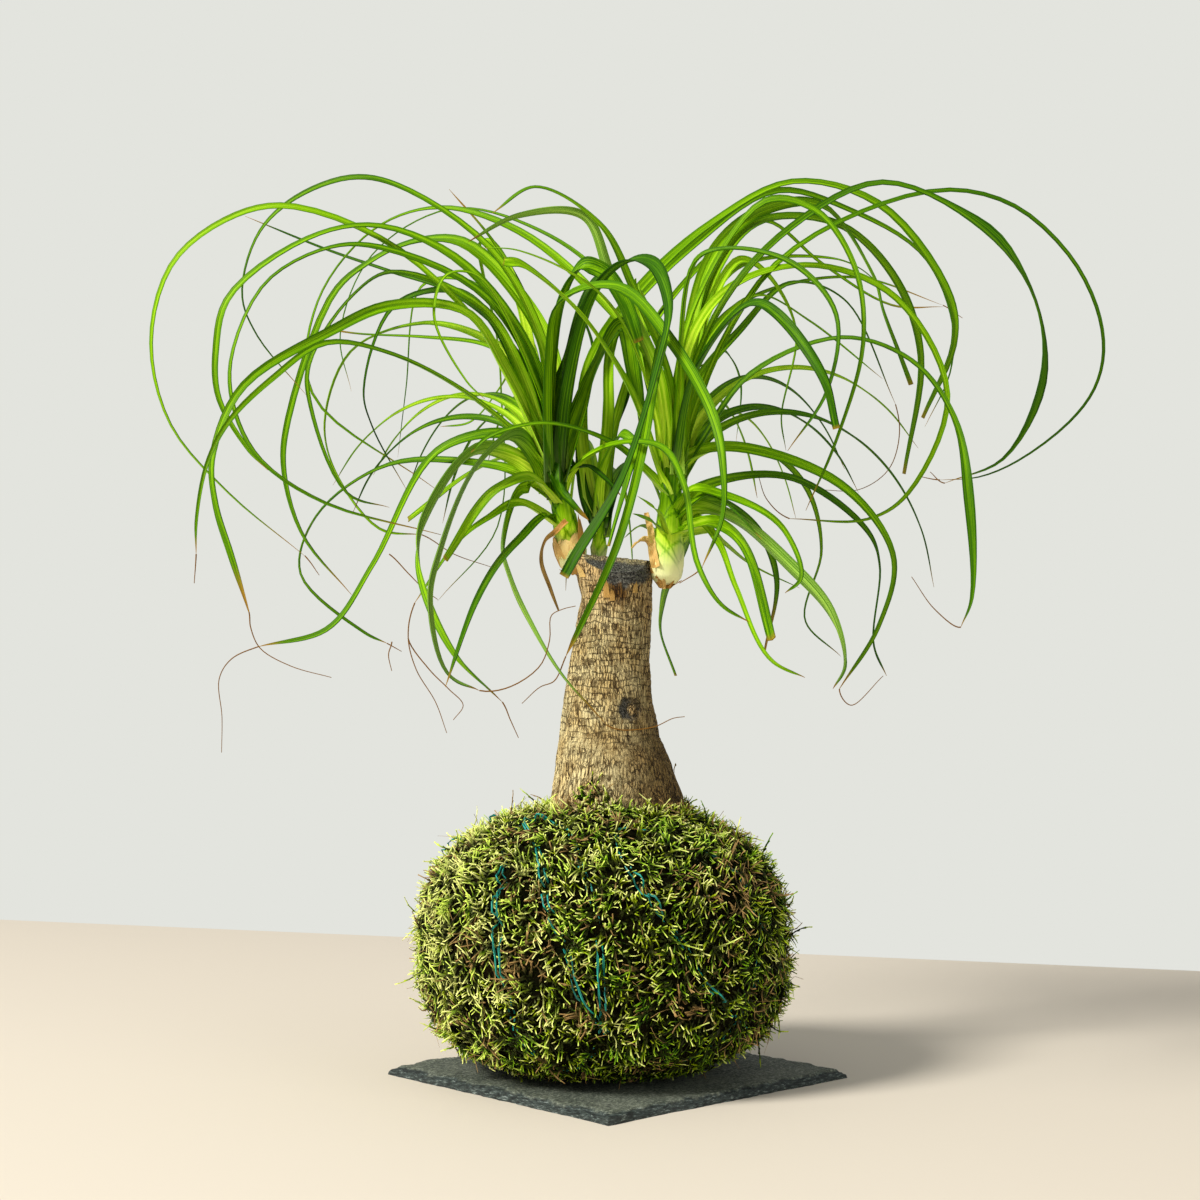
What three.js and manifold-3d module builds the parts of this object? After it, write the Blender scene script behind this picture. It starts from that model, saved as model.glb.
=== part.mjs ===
import * as THREE from "three";
import { mergeVertices } from "three/addons/utils/BufferGeometryUtils.js";
import Module from "manifold-3d";

const wasm = await Module();
wasm.setup();

// Driving sizes, in millimetres and degrees. X is right, Y is away from the viewer, Z is up,
// and the origin is the middle of the slate's underside.
const SLATE_SIDE = 200;
const SLATE_THICK = 5.5;
const SLATE_TURN = 42.7;
const SLATE_CHIP = 3.2;
const GAP = 0.3;

const BALL_CENTRE = new THREE.Vector3(-8, -1, 85);
const BALL_RADIUS = 114;
const BALL_RISE = 81;
const BALL_UPPER_POWER = 2.3;
const BALL_LOWER_POWER = 3;
const MOSS_THICK = 9;
const TUFT_RELIEF = 4.5;
const THREAD_THICK = 1.5;
const THREAD_CLEAR = 0.5;

const TRUNK_FOOT = 112;
const TRUNK_TOP = 318;
const TRUNK_DEPTH_SHARE = 0.96;
const BARK_RELIEF = 0.45;

const BLADE_THICK = 1.6;
const TIP_WIDTH = 1.7;
const BLUNT_SHARE = 0.72;
const ROOT_DROP = 16;
const SEAM_TIDY = 0.08;

// The eye that the leaf paths are told from: a point written as x, z lies in the upright plane
// through the trunk, and its depth then moves it along the line of sight.
const EYE = new THREE.Vector3(-10, -1186, 224);

const degrees = (angle) => (angle * Math.PI) / 180;
const between = (a, b, share) => a + (b - a) * share;

// A small seeded draw, so that every build makes the same object.
function drawer(seed) {
  let state = seed;
  return () => {
    state = (state * 16807) % 2147483647;
    return state / 2147483647;
  };
}

function solidOf(geometry) {
  const bare = geometry.clone();
  bare.deleteAttribute("normal");
  bare.deleteAttribute("uv");
  const merged = mergeVertices(bare, 1e-4);
  return new wasm.Manifold(
    new wasm.Mesh({
      numProp: 3,
      vertProperties: merged.attributes.position.array,
      triVerts: new Uint32Array(merged.index.array),
    }),
  );
}

function meshOf(name, solid, colour, roughness) {
  const made = solid.getMesh();
  const geometry = new THREE.BufferGeometry();
  geometry.setAttribute("position", new THREE.BufferAttribute(made.vertProperties, 3));
  geometry.setIndex(new THREE.BufferAttribute(made.triVerts, 1));
  geometry.computeVertexNormals();
  const material = new THREE.MeshStandardMaterial({ color: colour, roughness, metalness: 0 });
  const mesh = new THREE.Mesh(geometry, material);
  mesh.name = name;
  return mesh;
}

// A closed column whose rings are put where place(x, y, level) says. x and y lie on a circle of
// radius 1, or at 0 in the middle of an end, and level runs from 0 at the foot to 1 at the top.
function shapedColumn(sides, rings, place) {
  const column = new THREE.CylinderGeometry(1, 1, 1, sides, rings);
  column.rotateX(Math.PI / 2);
  const points = column.attributes.position;
  for (let i = 0; i < points.count; i += 1) {
    const p = place(points.getX(i), points.getY(i), points.getZ(i) + 0.5);
    points.setXYZ(i, p.x, p.y, p.z);
  }
  return solidOf(column);
}

// The slate: a square tile with chipped edges that slope in towards a smaller top.
function slateTile() {
  const draw = drawer(7);
  const sides = 72;
  const rings = 3;
  const chips = Array.from({ length: sides + 1 }, () => draw());
  const turn = degrees(SLATE_TURN);
  const inset = [0.9, 0, 0.35, 1];
  const heights = [0, 0.3, 0.72, 1];
  return shapedColumn(sides, rings, (x, y, level) => {
    const ring = Math.round(level * rings);
    const angle = Math.atan2(y, x);
    const index = Math.round(((angle + Math.PI) / (2 * Math.PI)) * sides) % sides;
    const square = SLATE_SIDE / 2 / Math.max(Math.abs(Math.cos(angle)), Math.abs(Math.sin(angle)));
    const chip = SLATE_CHIP * inset[ring] * (0.35 + chips[index]) + 0.5 * chips[(index * 5) % sides];
    const reach = Math.hypot(x, y) * (square - chip);
    const flat = new THREE.Vector3(reach * Math.cos(angle), reach * Math.sin(angle), 0);
    flat.applyAxisAngle(new THREE.Vector3(0, 0, 1), turn);
    flat.z = heights[ring] * SLATE_THICK;
    return flat;
  });
}

// The hollows between the moss's tufts, from 0 on a tuft to 1 at the deepest.
function hollow(angle, slope) {
  const rows = Math.sin(19 * angle + 5 * Math.sin(9 * slope));
  const columns = Math.cos(23 * slope + 3 * angle);
  return 0.5 + 0.5 * rows * columns;
}

// A point on the ball's skin, at an angle round it and a slope from -90 to 90 degrees.
function ballPoint(angle, slope, grow, relief) {
  const up = slope >= 0;
  const power = 2 / (up ? BALL_UPPER_POWER : BALL_LOWER_POWER);
  const rise = Math.sin(Math.abs(slope)) ** power;
  const spread = Math.cos(slope) ** power;
  const height = (BALL_RISE + grow) * (up ? rise : -rise);
  const radius = (BALL_RADIUS + grow - relief * hollow(angle, slope)) * spread;
  const foot = SLATE_THICK + GAP - Math.min(grow, 0);
  return new THREE.Vector3(
    BALL_CENTRE.x + radius * Math.cos(angle),
    BALL_CENTRE.y + radius * Math.sin(angle),
    Math.max(BALL_CENTRE.z + height, foot),
  );
}

function ballSolid(sides, rings, grow, relief) {
  return shapedColumn(sides, rings, (x, y, level) => {
    const slope = between(-84, 84, level);
    const rise = Math.hypot(x, y) > 0.5 ? slope : Math.sign(slope) * 90;
    return ballPoint(Math.atan2(y, x), degrees(rise), grow, relief);
  });
}

// The trunk's left and right edges as seen from the front, up its height.
const TRUNK_EDGES = [
  [112, -27, 27],
  [122, -43, 44],
  [138, -47, 49],
  [152, -44, 46],
  [167, -40, 41],
  [188, -37, 34],
  [206, -35, 26],
  [228, -32, 22],
  [253, -28.5, 20],
  [270, -25, 21],
  [291, -21.5, 22],
  [303, -23.5, 22.5],
  [311, -26, 21.5],
  [318, -24, 20],
];

function trunkEdges(z) {
  const after = TRUNK_EDGES.findIndex(([height]) => height >= z);
  const high = TRUNK_EDGES[Math.max(after, 1)];
  const low = TRUNK_EDGES[Math.max(after, 1) - 1];
  const share = (z - low[0]) / (high[0] - low[0]);
  const eased = share * share * (3 - 2 * share) * 0.4 + share * 0.6;
  return [between(low[1], high[1], eased), between(low[2], high[2], eased)];
}

// Bark: upright cracks between low ridges, crossed by rings left by old leaves.
function bark(angle, z) {
  const ridges = Math.sin(16 * angle + 1.4 * Math.sin(z / 17));
  const rings = Math.sin(z / 2.6 + 0.6 * Math.sin(3 * angle));
  return 0.65 * ridges + 0.35 * rings;
}

function trunkSolid(grow) {
  const sides = 30;
  const rings = 24;
  const body = shapedColumn(sides, rings, (x, y, level) => {
    const z = between(TRUNK_FOOT - grow, TRUNK_TOP + grow, level);
    const [left, right] = trunkEdges(Math.min(Math.max(z, TRUNK_FOOT), TRUNK_TOP));
    const half = (right - left) / 2 + grow;
    const relief = BARK_RELIEF * bark(Math.atan2(y, x), z);
    return new THREE.Vector3(
      (left + right) / 2 + x * (half + relief),
      y * (half * TRUNK_DEPTH_SHARE + relief),
      z,
    );
  });
  // The top was sawn nearly level, and then pared down on the front right.
  const level = new THREE.Vector3(-0.09, 0.02, -1).normalize();
  const pared = new THREE.Vector3(-0.12, 0.62, -0.78).normalize();
  const levelAt = new THREE.Vector3(0, 0, 315.5 + grow);
  const paredAt = new THREE.Vector3(6, -7, 315.5 + grow);
  return body
    .trimByPlane(level.toArray(), level.dot(levelAt))
    .trimByPlane(pared.toArray(), pared.dot(paredAt));
}

// The thread's turning points round the ball: the angle from the front, positive to the right,
// and the slope on the ball.
const THREAD_ROUTE = [
  [-52, 58], [-36, 30], [-31, 4], [-27, -28], [-16, -52],
  [-2, -30], [-1, 2], [-6, 30], [-20, 58],
  [-46, 61], [-24, 40], [-14, 10], [2, -24], [20, -50],
  [44, -30], [56, 4], [50, 34], [30, 54],
  [8, 58], [9, 34], [24, 4], [52, -26], [78, -48],
  [104, -24], [112, 8], [100, 40], [84, 50],
  [108, 52], [128, 34], [140, 2], [150, -30], [168, -50],
  [188, -26], [192, 6], [184, 38], [170, 56],
  [192, 60], [212, 38], [222, 4], [230, -28], [246, -50],
  [264, -28], [270, 4], [266, 36], [254, 58],
];

function threadPoint(turn, slope) {
  return ballPoint(degrees(turn - 90), degrees(slope), THREAD_THICK / 2 + THREAD_CLEAR, 0);
}

// The winding is made strand by strand, each lapping into the next, and joined where they cross.
function bindingThread() {
  const ring = new THREE.Shape();
  const sides = 3;
  for (let i = 0; i < sides; i += 1) {
    const angle = (i / sides) * 2 * Math.PI;
    const at = [(THREAD_THICK / 2) * Math.cos(angle), (THREAD_THICK / 2) * Math.sin(angle)];
    if (i === 0) ring.moveTo(...at);
    else ring.lineTo(...at);
  }
  ring.closePath();
  const stops = THREAD_ROUTE.map(([turn, slope]) => new THREE.Vector3(turn, slope, 0));
  const plan = new THREE.CatmullRomCurve3(stops);
  const strands = 10;
  const steps = 13;
  const pieces = [];
  for (let strand = 0; strand < strands; strand += 1) {
    const points = [];
    for (let i = 0; i <= steps; i += 1) {
      const at = plan.getPoint(Math.min(1, (strand + (i / steps) * 1.03) / strands));
      points.push(threadPoint(at.x, at.y));
    }
    const route = new THREE.CatmullRomCurve3(points);
    const piece = new THREE.ExtrudeGeometry(ring, { extrudePath: route, steps, bevelEnabled: false });
    pieces.push(solidOf(piece));
  }
  return wasm.Manifold.union(pieces);
}

// Each crown of leaves: where its sheath stands on the trunk, how it leans, and its leaves.
// A leaf is its width, how far it reaches towards the back (negative to the front), its roll at
// the root and at the tip, whether it was cut blunt, and its path in the upright plane.
const leaf = (wide, reach, rolls, path, blunt = false) => ({ wide, reach, rolls, path, blunt });

const LEFT_LEAVES = [
  leaf(9, 5, [20, 50], [[-42, 381], [-59, 414], [-80, 452], [-140, 510], [-205, 535], [-240, 528],
    [-275, 500], [-288, 452], [-276, 400], [-240, 357], [-192, 317]]),
  leaf(9, 40, [20, 45], [[-42, 430], [-75, 503], [-135, 547], [-165, 553], [-200, 540], [-222, 518],
    [-232, 480], [-223, 455], [-192, 417]]),
  leaf(11, -10, [30, 60], [[-42, 400], [-62, 455], [-100, 501], [-150, 522], [-192, 514], [-240, 478],
    [-248, 445], [-246, 415], [-228, 384], [-215, 370]]),
  leaf(9, -45, [30, 50], [[-45, 400], [-62, 450], [-90, 484], [-150, 509], [-180, 508], [-217, 487],
    [-238, 440], [-236, 408], [-220, 377], [-180, 350], [-108, 330]]),
  leaf(11, 60, [35, 65], [[-42, 440], [-60, 477], [-95, 511], [-125, 512], [-152, 500], [-175, 480],
    [-203, 400], [-205, 370], [-193, 330], [-163, 293]]),
  leaf(9, 20, [30, 55], [[-60, 430], [-83, 470], [-140, 493], [-163, 479], [-190, 436], [-189, 410],
    [-166, 356], [-140, 347]]),
  leaf(10, -80, [30, 60], [[-70, 430], [-94, 467], [-140, 472], [-180, 455], [-231, 422], [-249, 379],
    [-247, 350], [-237, 317], [-226, 282]]),
  leaf(9, -120, [20, 50], [[-49, 377], [-68, 397], [-100, 422], [-140, 442], [-180, 449], [-213, 427],
    [-240, 400], [-253, 374], [-259, 340], [-259, 318]]),
  leaf(9, 130, [25, 50], [[-65, 437], [-83, 452], [-120, 461], [-164, 444], [-180, 400], [-174, 371],
    [-146, 334], [-120, 330]]),
  leaf(7, 150, [20, 60], [[-40, 370], [-68, 440], [-83, 449], [-120, 453], [-160, 455], [-179, 458]]),
  leaf(9, 85, [30, 60], [[-40, 370], [-75, 460], [-100, 482], [-138, 472], [-156, 420], [-151, 398],
    [-129, 357]]),
  leaf(6, 165, [30, 60], [[-36, 360], [-70, 470], [-100, 490], [-122, 483], [-130, 421], [-135, 378]]),
  leaf(5, -30, [30, 60], [[-36, 380], [-85, 490], [-105, 492], [-113, 466], [-93, 426], [-81, 414]]),
  leaf(7, 115, [30, 45], [[-38, 370], [-60, 440], [-100, 479], [-140, 494], [-180, 508], [-231, 529]]),
  leaf(6, 70, [30, 45], [[-45, 440], [-60, 486], [-80, 518], [-104, 546]]),
  leaf(11, -135, [-30, -60], [[-45, 375], [-60, 391], [-84, 374], [-108, 317], [-113, 286], [-103, 245],
    [-84, 234], [-66, 236], [-47, 249]]),
  leaf(10, -100, [-35, -60], [[-60, 378], [-85, 382], [-117, 340], [-121, 311], [-100, 259], [-70, 227],
    [-60, 205]]),
  leaf(10, 25, [35, 60], [[-50, 380], [-68, 392], [-110, 381], [-149, 311], [-177, 272], [-220, 261]]),
  leaf(8, -175, [30, 50], [[-51, 364], [-70, 360], [-88, 343], [-106, 315]], true),
  leaf(8, -70, [30, 50], [[-60, 349], [-80, 340], [-99, 324], [-125, 286]], true),
  leaf(9, 110, [30, 50], [[-54, 380], [-71, 377], [-94, 365], [-128, 339]], true),
  leaf(9, 75, [30, 60], [[-60, 367], [-80, 373], [-140, 373], [-185, 341], [-194, 306], [-155, 270],
    [-141, 263]]),
  leaf(7, -95, [-30, -50], [[-46, 358], [-60, 359], [-71, 325], [-66, 302], [-55, 278], [-35, 245],
    [-6, 213]]),
  leaf(9, -200, [30, 50], [[-41, 341], [-61, 326], [-86, 289], [-105, 236]], true),
  leaf(8, 190, [30, 60], [[-60, 480], [-78, 512], [-84, 512], [-74, 456], [-71, 421], [-73, 335],
    [-110, 289]]),
  leaf(7, 210, [30, 60], [[-45, 420], [-55, 450], [-72, 421], [-90, 400], [-109, 397]]),
  leaf(9, -180, [30, 60], [[-40, 435], [-34, 474], [0, 484], [35, 449], [61, 402], [67, 371], [66, 340],
    [53, 310]]),
  leaf(10, -18, [30, 60], [[-33, 428], [-27, 449], [-9, 487], [2, 462], [-6, 430]], true),
  leaf(10, -8, [30, 60], [[-22, 400], [-10, 437], [4, 460], [11, 425], [15, 400]], true),
  leaf(9, -230, [30, 50], [[-25, 369], [-8, 383], [26, 385], [42, 361], [52, 308], [65, 287], [82, 276]]),
  leaf(6, -20, [30, 50], [[-39, 369], [-35, 357], [-27, 349], [-17, 339]]),
  leaf(11, -190, [20, 60], [[-28, 420], [-12, 480], [8, 500], [24, 498], [34, 472], [27, 435], [3, 361],
    [-23, 319], [-32, 304]], true),
];

const MIDDLE_LEAVES = [
  leaf(9, 45, [30, 60], [[-20, 400], [-15, 438], [14, 482], [60, 524], [111, 550], [165, 535],
    [206, 480], [209, 450], [189, 403]], true),
  leaf(9, 80, [30, 60], [[-4, 400], [0, 455], [50, 512], [100, 545], [145, 533], [190, 505], [208, 464],
    [207, 432], [191, 397]]),
  leaf(7, 110, [30, 60], [[0, 400], [20, 455], [60, 505], [93, 526], [128, 499], [171, 473], [203, 472]]),
  leaf(8, -60, [20, 50], [[-6, 370], [4, 392], [12, 385], [8, 366], [-4, 323]], true),
];

const RIGHT_LEAVES = [
  leaf(9, 30, [20, 50], [[42, 380], [65, 445], [100, 498], [153, 531], [208, 545], [240, 539],
    [292, 499], [302, 445], [295, 418], [234, 370], [200, 364]]),
  leaf(11, -30, [20, 60], [[38, 392], [65, 470], [107, 520], [165, 550], [223, 525], [258, 481],
    [264, 429], [240, 378], [203, 362]]),
  leaf(9, -60, [20, 60], [[37, 410], [52, 477], [93, 538], [124, 533], [148, 498], [153, 449],
    [136, 389], [117, 345]]),
  leaf(10, 70, [30, 60], [[42, 430], [60, 505], [90, 532], [128, 535], [159, 492], [166, 467],
    [182, 423]], true),
  leaf(11, 95, [30, 60], [[45, 430], [62, 495], [90, 525], [140, 522], [174, 487], [188, 441],
    [177, 368]], true),
  leaf(9, -95, [30, 60], [[40, 420], [50, 500], [69, 508], [110, 499], [137, 467], [131, 420], [106, 382]]),
  leaf(9, 50, [30, 60], [[44, 430], [76, 501], [91, 495], [111, 458], [102, 403], [105, 382]]),
  leaf(10, 10, [30, 60], [[50, 455], [76, 486], [125, 497], [174, 477], [205, 417], [180, 356],
    [155, 340], [107, 340]]),
  leaf(9, 120, [30, 60], [[48, 420], [76, 457], [110, 487], [143, 475], [173, 411]]),
  leaf(11, -130, [30, 60], [[50, 430], [84, 473], [100, 467], [130, 426], [137, 396]], true),
  leaf(9, -75, [30, 60], [[50, 381], [84, 429], [140, 452], [183, 438], [209, 403], [218, 353],
    [219, 291], [212, 273]]),
  leaf(6, 140, [30, 60], [[50, 450], [76, 497], [128, 503], [150, 497], [177, 472]]),
  leaf(6, 195, [30, 60], [[55, 450], [91, 481], [153, 490], [203, 473]]),
  leaf(6, 85, [30, 60], [[50, 440], [88, 479], [120, 463], [165, 427]]),
  leaf(10, -15, [30, 60], [[45, 377], [73, 384], [138, 361], [170, 317], [161, 274], [137, 235]]),
  leaf(9, 60, [30, 60], [[55, 359], [107, 365], [154, 333], [162, 311], [158, 262], [166, 243]]),
  leaf(9, -150, [30, 60], [[46, 356], [66, 355], [105, 332], [114, 303], [104, 294]]),
  leaf(6, -60, [30, 60], [[55, 354], [64, 353], [90, 327]]),
  leaf(12, -110, [-30, -60], [[46, 345], [70, 340], [106, 311], [132, 280], [140, 250], [133, 235]]),
  leaf(10, -170, [30, 60], [[58, 337], [68, 335], [83, 317], [96, 265]], true),
  leaf(8, 130, [30, 60], [[57, 332], [66, 325], [87, 309], [113, 297]]),
  leaf(8, -125, [30, 60], [[52, 338], [63, 326], [74, 297], [96, 252], [116, 242]]),
  leaf(8, 40, [30, 60], [[60, 350], [85, 335], [98, 303], [91, 259]], true),
  leaf(9, 100, [-20, 80], [[55, 380], [88, 383], [116, 361], [126, 320], [116, 277], [138, 255]]),
  leaf(8, 190, [30, 60], [[45, 342], [42, 325], [28, 290], [27, 269], [36, 243]], true),
  leaf(6, 200, [30, 60], [[50, 420], [66, 445], [77, 424], [74, 386]]),
  leaf(9, -66, [30, 60], [[16, 370], [0, 385], [-45, 399], [-80, 390], [-90, 381]]),
  leaf(8, -25, [30, 60], [[33, 420], [10, 484], [-10, 523], [-50, 547], [-77, 531]]),
  leaf(9, -20, [-30, -60], [[25, 430], [-3, 491], [-20, 529], [-60, 529], [-92, 513]]),
  leaf(9, 105, [20, 60], [[30, 420], [-10, 476], [-60, 519], [-110, 534], [-151, 520], [-185, 475],
    [-188, 418], [-111, 358]]),
  leaf(5, 175, [20, 60], [[25, 400], [0, 480], [-48, 520], [-105, 533], [-152, 504], [-171, 455],
    [-164, 419]]),
  leaf(5, -125, [20, 60], [[20, 420], [-10, 480], [-60, 507], [-84, 509]]),
  leaf(11, -100, [30, 60], [[25, 370], [7, 421], [-27, 472], [-60, 498], [-70, 500]], true),
  leaf(8, 20, [30, 60], [[27, 400], [12, 487], [27, 455], [25, 430]], true),
  leaf(6, -90, [30, 50], [[26, 343], [20, 349], [13, 354]]),
  leaf(6, -130, [30, 50], [[25, 335], [16, 341], [10, 343]]),
  leaf(6, 60, [30, 50], [[27, 330], [14, 335], [5, 328]]),
  leaf(8, -85, [20, 50], [[36, 400], [38, 438], [31, 452], [25, 430], [16, 380], [0, 323], [-23, 272],
    [-31, 255]]),
];

// The crowns' sheaths: foot and mouth on the sheath's axis, its bulb and its width at the mouth,
// and the leaves that no view from the front shows, spread by a rule between two headings.
const CROWNS = [
  {
    name: "left_shoot", colour: 0x5d8c1e, foot: [-26, -2, 307], mouth: [-37, -2, 368],
    bulb: 9.5, neck: 7.5, leaves: LEFT_LEAVES, hidden: [[104, 150, 6]], seed: 11,
  },
  {
    name: "middle_shoot", colour: 0x6a9a26, foot: [-11, 11, 312], mouth: [-10, 11, 345],
    bulb: 6, neck: 4.5, leaves: MIDDLE_LEAVES, hidden: [[70, 100, 3]], seed: 23,
  },
  {
    name: "right_shoot", colour: 0x5f9020, foot: [30, -1, 299], mouth: [35, -1, 374],
    bulb: 10, neck: 8, leaves: RIGHT_LEAVES, hidden: [[28, 74, 6]], seed: 37,
  },
];

function sight(x, z, depth) {
  const share = 1 + depth / -EYE.y;
  return new THREE.Vector3(EYE.x + (x - EYE.x) * share, depth, EYE.z + (z - EYE.z) * share);
}

// Where a leaf starts in its sheath: a little below the point that it makes for, on its side.
function rootPoint({ foot, mouth, neck }, towards) {
  const low = new THREE.Vector3(...foot);
  const high = new THREE.Vector3(...mouth);
  const share = THREE.MathUtils.clamp((towards.z - ROOT_DROP - low.z) / (high.z - low.z), 0.4, 0.9);
  const start = low.lerp(high, share);
  const side = new THREE.Vector3(towards.x - start.x, towards.y - start.y, 0).normalize();
  return start.addScaledVector(side, neck * 0.45);
}

// A listed leaf leaves its sheath upright and swings to its full depth before its tip.
function listedPath(crown, { reach, path }) {
  const mouth = new THREE.Vector3(...crown.mouth);
  const start = rootPoint(crown, sight(...path[0], mouth.y + Math.sign(reach) * 3));
  const lengths = [0];
  path.forEach(([x, z], i) => {
    const before = i === 0 ? [start.x, start.z] : path[i - 1];
    lengths.push(lengths[i] + Math.hypot(x - before[0], z - before[1]));
  });
  const whole = lengths[path.length];
  const points = path.map(([x, z], i) => {
    const share = lengths[i + 1] / whole;
    const bow = 0.5 - 0.5 * Math.cos(Math.PI * Math.min(1, share * 1.15));
    return sight(x, z, mouth.y + reach * bow);
  });
  return [start, ...points];
}

// A leaf that arches out at a heading, its slope falling evenly from rise to fall.
function archedPath(crown, heading, length, rise, fall) {
  const towards = new THREE.Vector3(...crown.mouth).add(
    new THREE.Vector3(Math.cos(degrees(heading)), Math.sin(degrees(heading)), 0),
  );
  const start = rootPoint(crown, towards);
  const spans = 7;
  const points = [start];
  for (let i = 0; i < spans; i += 1) {
    const slope = degrees(between(rise, fall, ((i + 0.5) / spans) ** 0.8));
    const step = length / spans;
    points.push(
      points[i].clone().add(
        new THREE.Vector3(
          step * Math.cos(slope) * Math.cos(degrees(heading)),
          step * Math.cos(slope) * Math.sin(degrees(heading)),
          step * Math.sin(slope),
        ),
      ),
    );
  }
  return points;
}

function bladeWidth(wide, share, blunt) {
  const base = Math.min(1, 0.55 + share * 2.2);
  const taper = 1 - 0.25 * share - (blunt ? 0 : 0.7 * share ** 4);
  return Math.max(TIP_WIDTH, wide * base * Math.max(taper, blunt ? BLUNT_SHARE : 0));
}

// A three-sided blade along its path: flat above, keeled below, and rolled along its length so
// that a positive roll shows its upper face to the front.
function blade(points, wide, [rootRoll, tipRoll], blunt) {
  const curve = new THREE.CatmullRomCurve3(points);
  const spans = points.length - 1;
  const steps = Math.max(8, Math.round(spans * 1.7));
  const start = points[0];
  const far = points.reduce((a, b) => (b.distanceTo(start) > a.distanceTo(start) ? b : a));
  const heading = new THREE.Vector3(far.x - start.x, far.y - start.y, 0).normalize();
  const hand = heading.x < 0 ? 1 : -1;
  const near = new THREE.Vector3(heading.y, -heading.x, 0).multiplyScalar(-hand);
  return shapedColumn(3, steps, (x, y, level) => {
    const middle = curve.getPoint(level);
    const along = curve.getTangent(level);
    const side = near.clone().addScaledVector(along, -near.dot(along)).normalize();
    const upper = along.clone().cross(side).multiplyScalar(hand);
    const roll = degrees(between(rootRoll, tipRoll, Math.min(1, level * 2)));
    const across = side.clone().multiplyScalar(Math.cos(roll)).addScaledVector(upper, -Math.sin(roll));
    const face = upper.clone().multiplyScalar(Math.cos(roll)).addScaledVector(side, Math.sin(roll));
    const width = bladeWidth(wide, level, blunt);
    return middle
      .addScaledVector(across, (hand * x * width) / Math.sqrt(3))
      .addScaledVector(face, ((y - 0.5) / 1.5) * BLADE_THICK);
  });
}

// The pale swollen foot of a crown, drawing in to the mouth that its leaves leave by.
function sheath({ foot, mouth, bulb, neck }, grow = 0) {
  const from = new THREE.Vector3(...foot);
  const to = new THREE.Vector3(...mouth);
  const length = from.distanceTo(to);
  const profile = [
    [0, 0], [bulb * 0.5, 1.2], [bulb * 0.82, 4.5], [bulb, 12], [bulb * 0.96, length * 0.36],
    [neck * 1.06, length * 0.6], [neck, length], [0, length + 2],
  ].map(([radius, height]) => new THREE.Vector2(radius && radius + grow, height));
  const turned = new THREE.LatheGeometry(profile, 12);
  const along = to.clone().sub(from).normalize();
  const lean = new THREE.Quaternion().setFromUnitVectors(new THREE.Vector3(0, 1, 0), along);
  turned.applyQuaternion(lean);
  turned.translate(...foot);
  return solidOf(turned);
}

function crownBlades(crown) {
  const blades = crown.leaves.map((one) => blade(listedPath(crown, one), one.wide, one.rolls, one.blunt));
  const draw = drawer(crown.seed);
  crown.hidden.forEach(([from, to, count]) => {
    for (let i = 0; i < count; i += 1) {
      const heading = between(from, to, (i + 0.2 + 0.6 * draw()) / count);
      const length = between(210, 290, draw());
      const path = archedPath(crown, heading, length, between(86, 72, draw()), between(-40, -85, draw()));
      blades.push(blade(path, between(7, 10, draw()), [10, 40], false));
    }
  });
  return blades;
}

// Crossing blades can wall in a small hollow or leave a scrap: the outer skin alone is kept.
function outerBody(solid) {
  return solid.decompose().reduce((a, b) => (b.volume() > a.volume() ? b : a));
}

function shootSolid(crown, trunkRoom) {
  const whole = wasm.Manifold.union([sheath(crown), ...crownBlades(crown)]).subtract(trunkRoom);
  return outerBody(whole).simplify(SEAM_TIDY);
}

// Dried pieces, each a few papery strips: their points are x, y, z.
const DRY_LEAF = [
  {
    wide: 5,
    rolls: [80, 80],
    path: [[-30, -12.5, 337], [-36, -13, 331], [-43, -11, 325], [-45.5, -9, 313], [-40, -8, 296], [-35, -8, 283]],
  },
];
const DRY_SHEATH = [
  {
    wide: 8,
    rolls: [60, 60],
    path: [[24.5, -10.2, 309], [21.6, -8.2, 322], [20.4, -7.6, 334], [18.5, -7.2, 343]],
  },
  {
    wide: 6,
    rolls: [-55, -20],
    path: [[22, -8.6, 322], [18, -11, 326], [13, -13, 324], [9.5, -13, 320.5]],
  },
];

function dryPiece(strips, crown) {
  const blades = strips.map(({ wide, rolls, path }) => {
    const points = path.map((at) => new THREE.Vector3(...at));
    return blade(points, wide, rolls, true);
  });
  return outerBody(wasm.Manifold.union(blades).subtract(sheath(crown, GAP)));
}

const plant = new THREE.Group();
const trunk = trunkSolid(0);
const trunkRoom = trunkSolid(GAP);
const soil = ballSolid(20, 10, -MOSS_THICK, 0).subtract(trunkRoom);
const moss = ballSolid(44, 24, 0, TUFT_RELIEF)
  .subtract(ballSolid(20, 10, GAP - MOSS_THICK, 0))
  .subtract(trunkRoom);

plant.add(meshOf("slate_tile", slateTile(), 0x474c4e, 0.8));
plant.add(meshOf("soil_ball", soil, 0x3a2a1c, 1));
plant.add(meshOf("moss_layer", moss, 0x6f7f26, 1));
plant.add(meshOf("binding_thread", bindingThread(), 0x0c7a78, 0.6));
plant.add(meshOf("trunk", trunk, 0xb8945f, 0.9));
CROWNS.forEach((crown) => plant.add(meshOf(crown.name, shootSolid(crown, trunkRoom), crown.colour, 0.5)));
plant.add(meshOf("left_dry_leaf", dryPiece(DRY_LEAF, CROWNS[0]), 0x8a6420, 0.8));
plant.add(meshOf("right_dry_sheath", dryPiece(DRY_SHEATH, CROWNS[2]), 0xc79a4c, 0.85));

export default plant;
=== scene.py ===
"""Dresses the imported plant: a ponytail palm whose roots sit in a ball of moss on a slate tile.

Sizes are in millimetres, as in the part's own source, and MM turns them into Blender's metres.
X is right, Y is away from the viewer, Z is up, and the origin is the middle of the slate's underside.
"""

import math
import random

import bmesh
import bpy
import numpy as np
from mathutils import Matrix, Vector, noise

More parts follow.
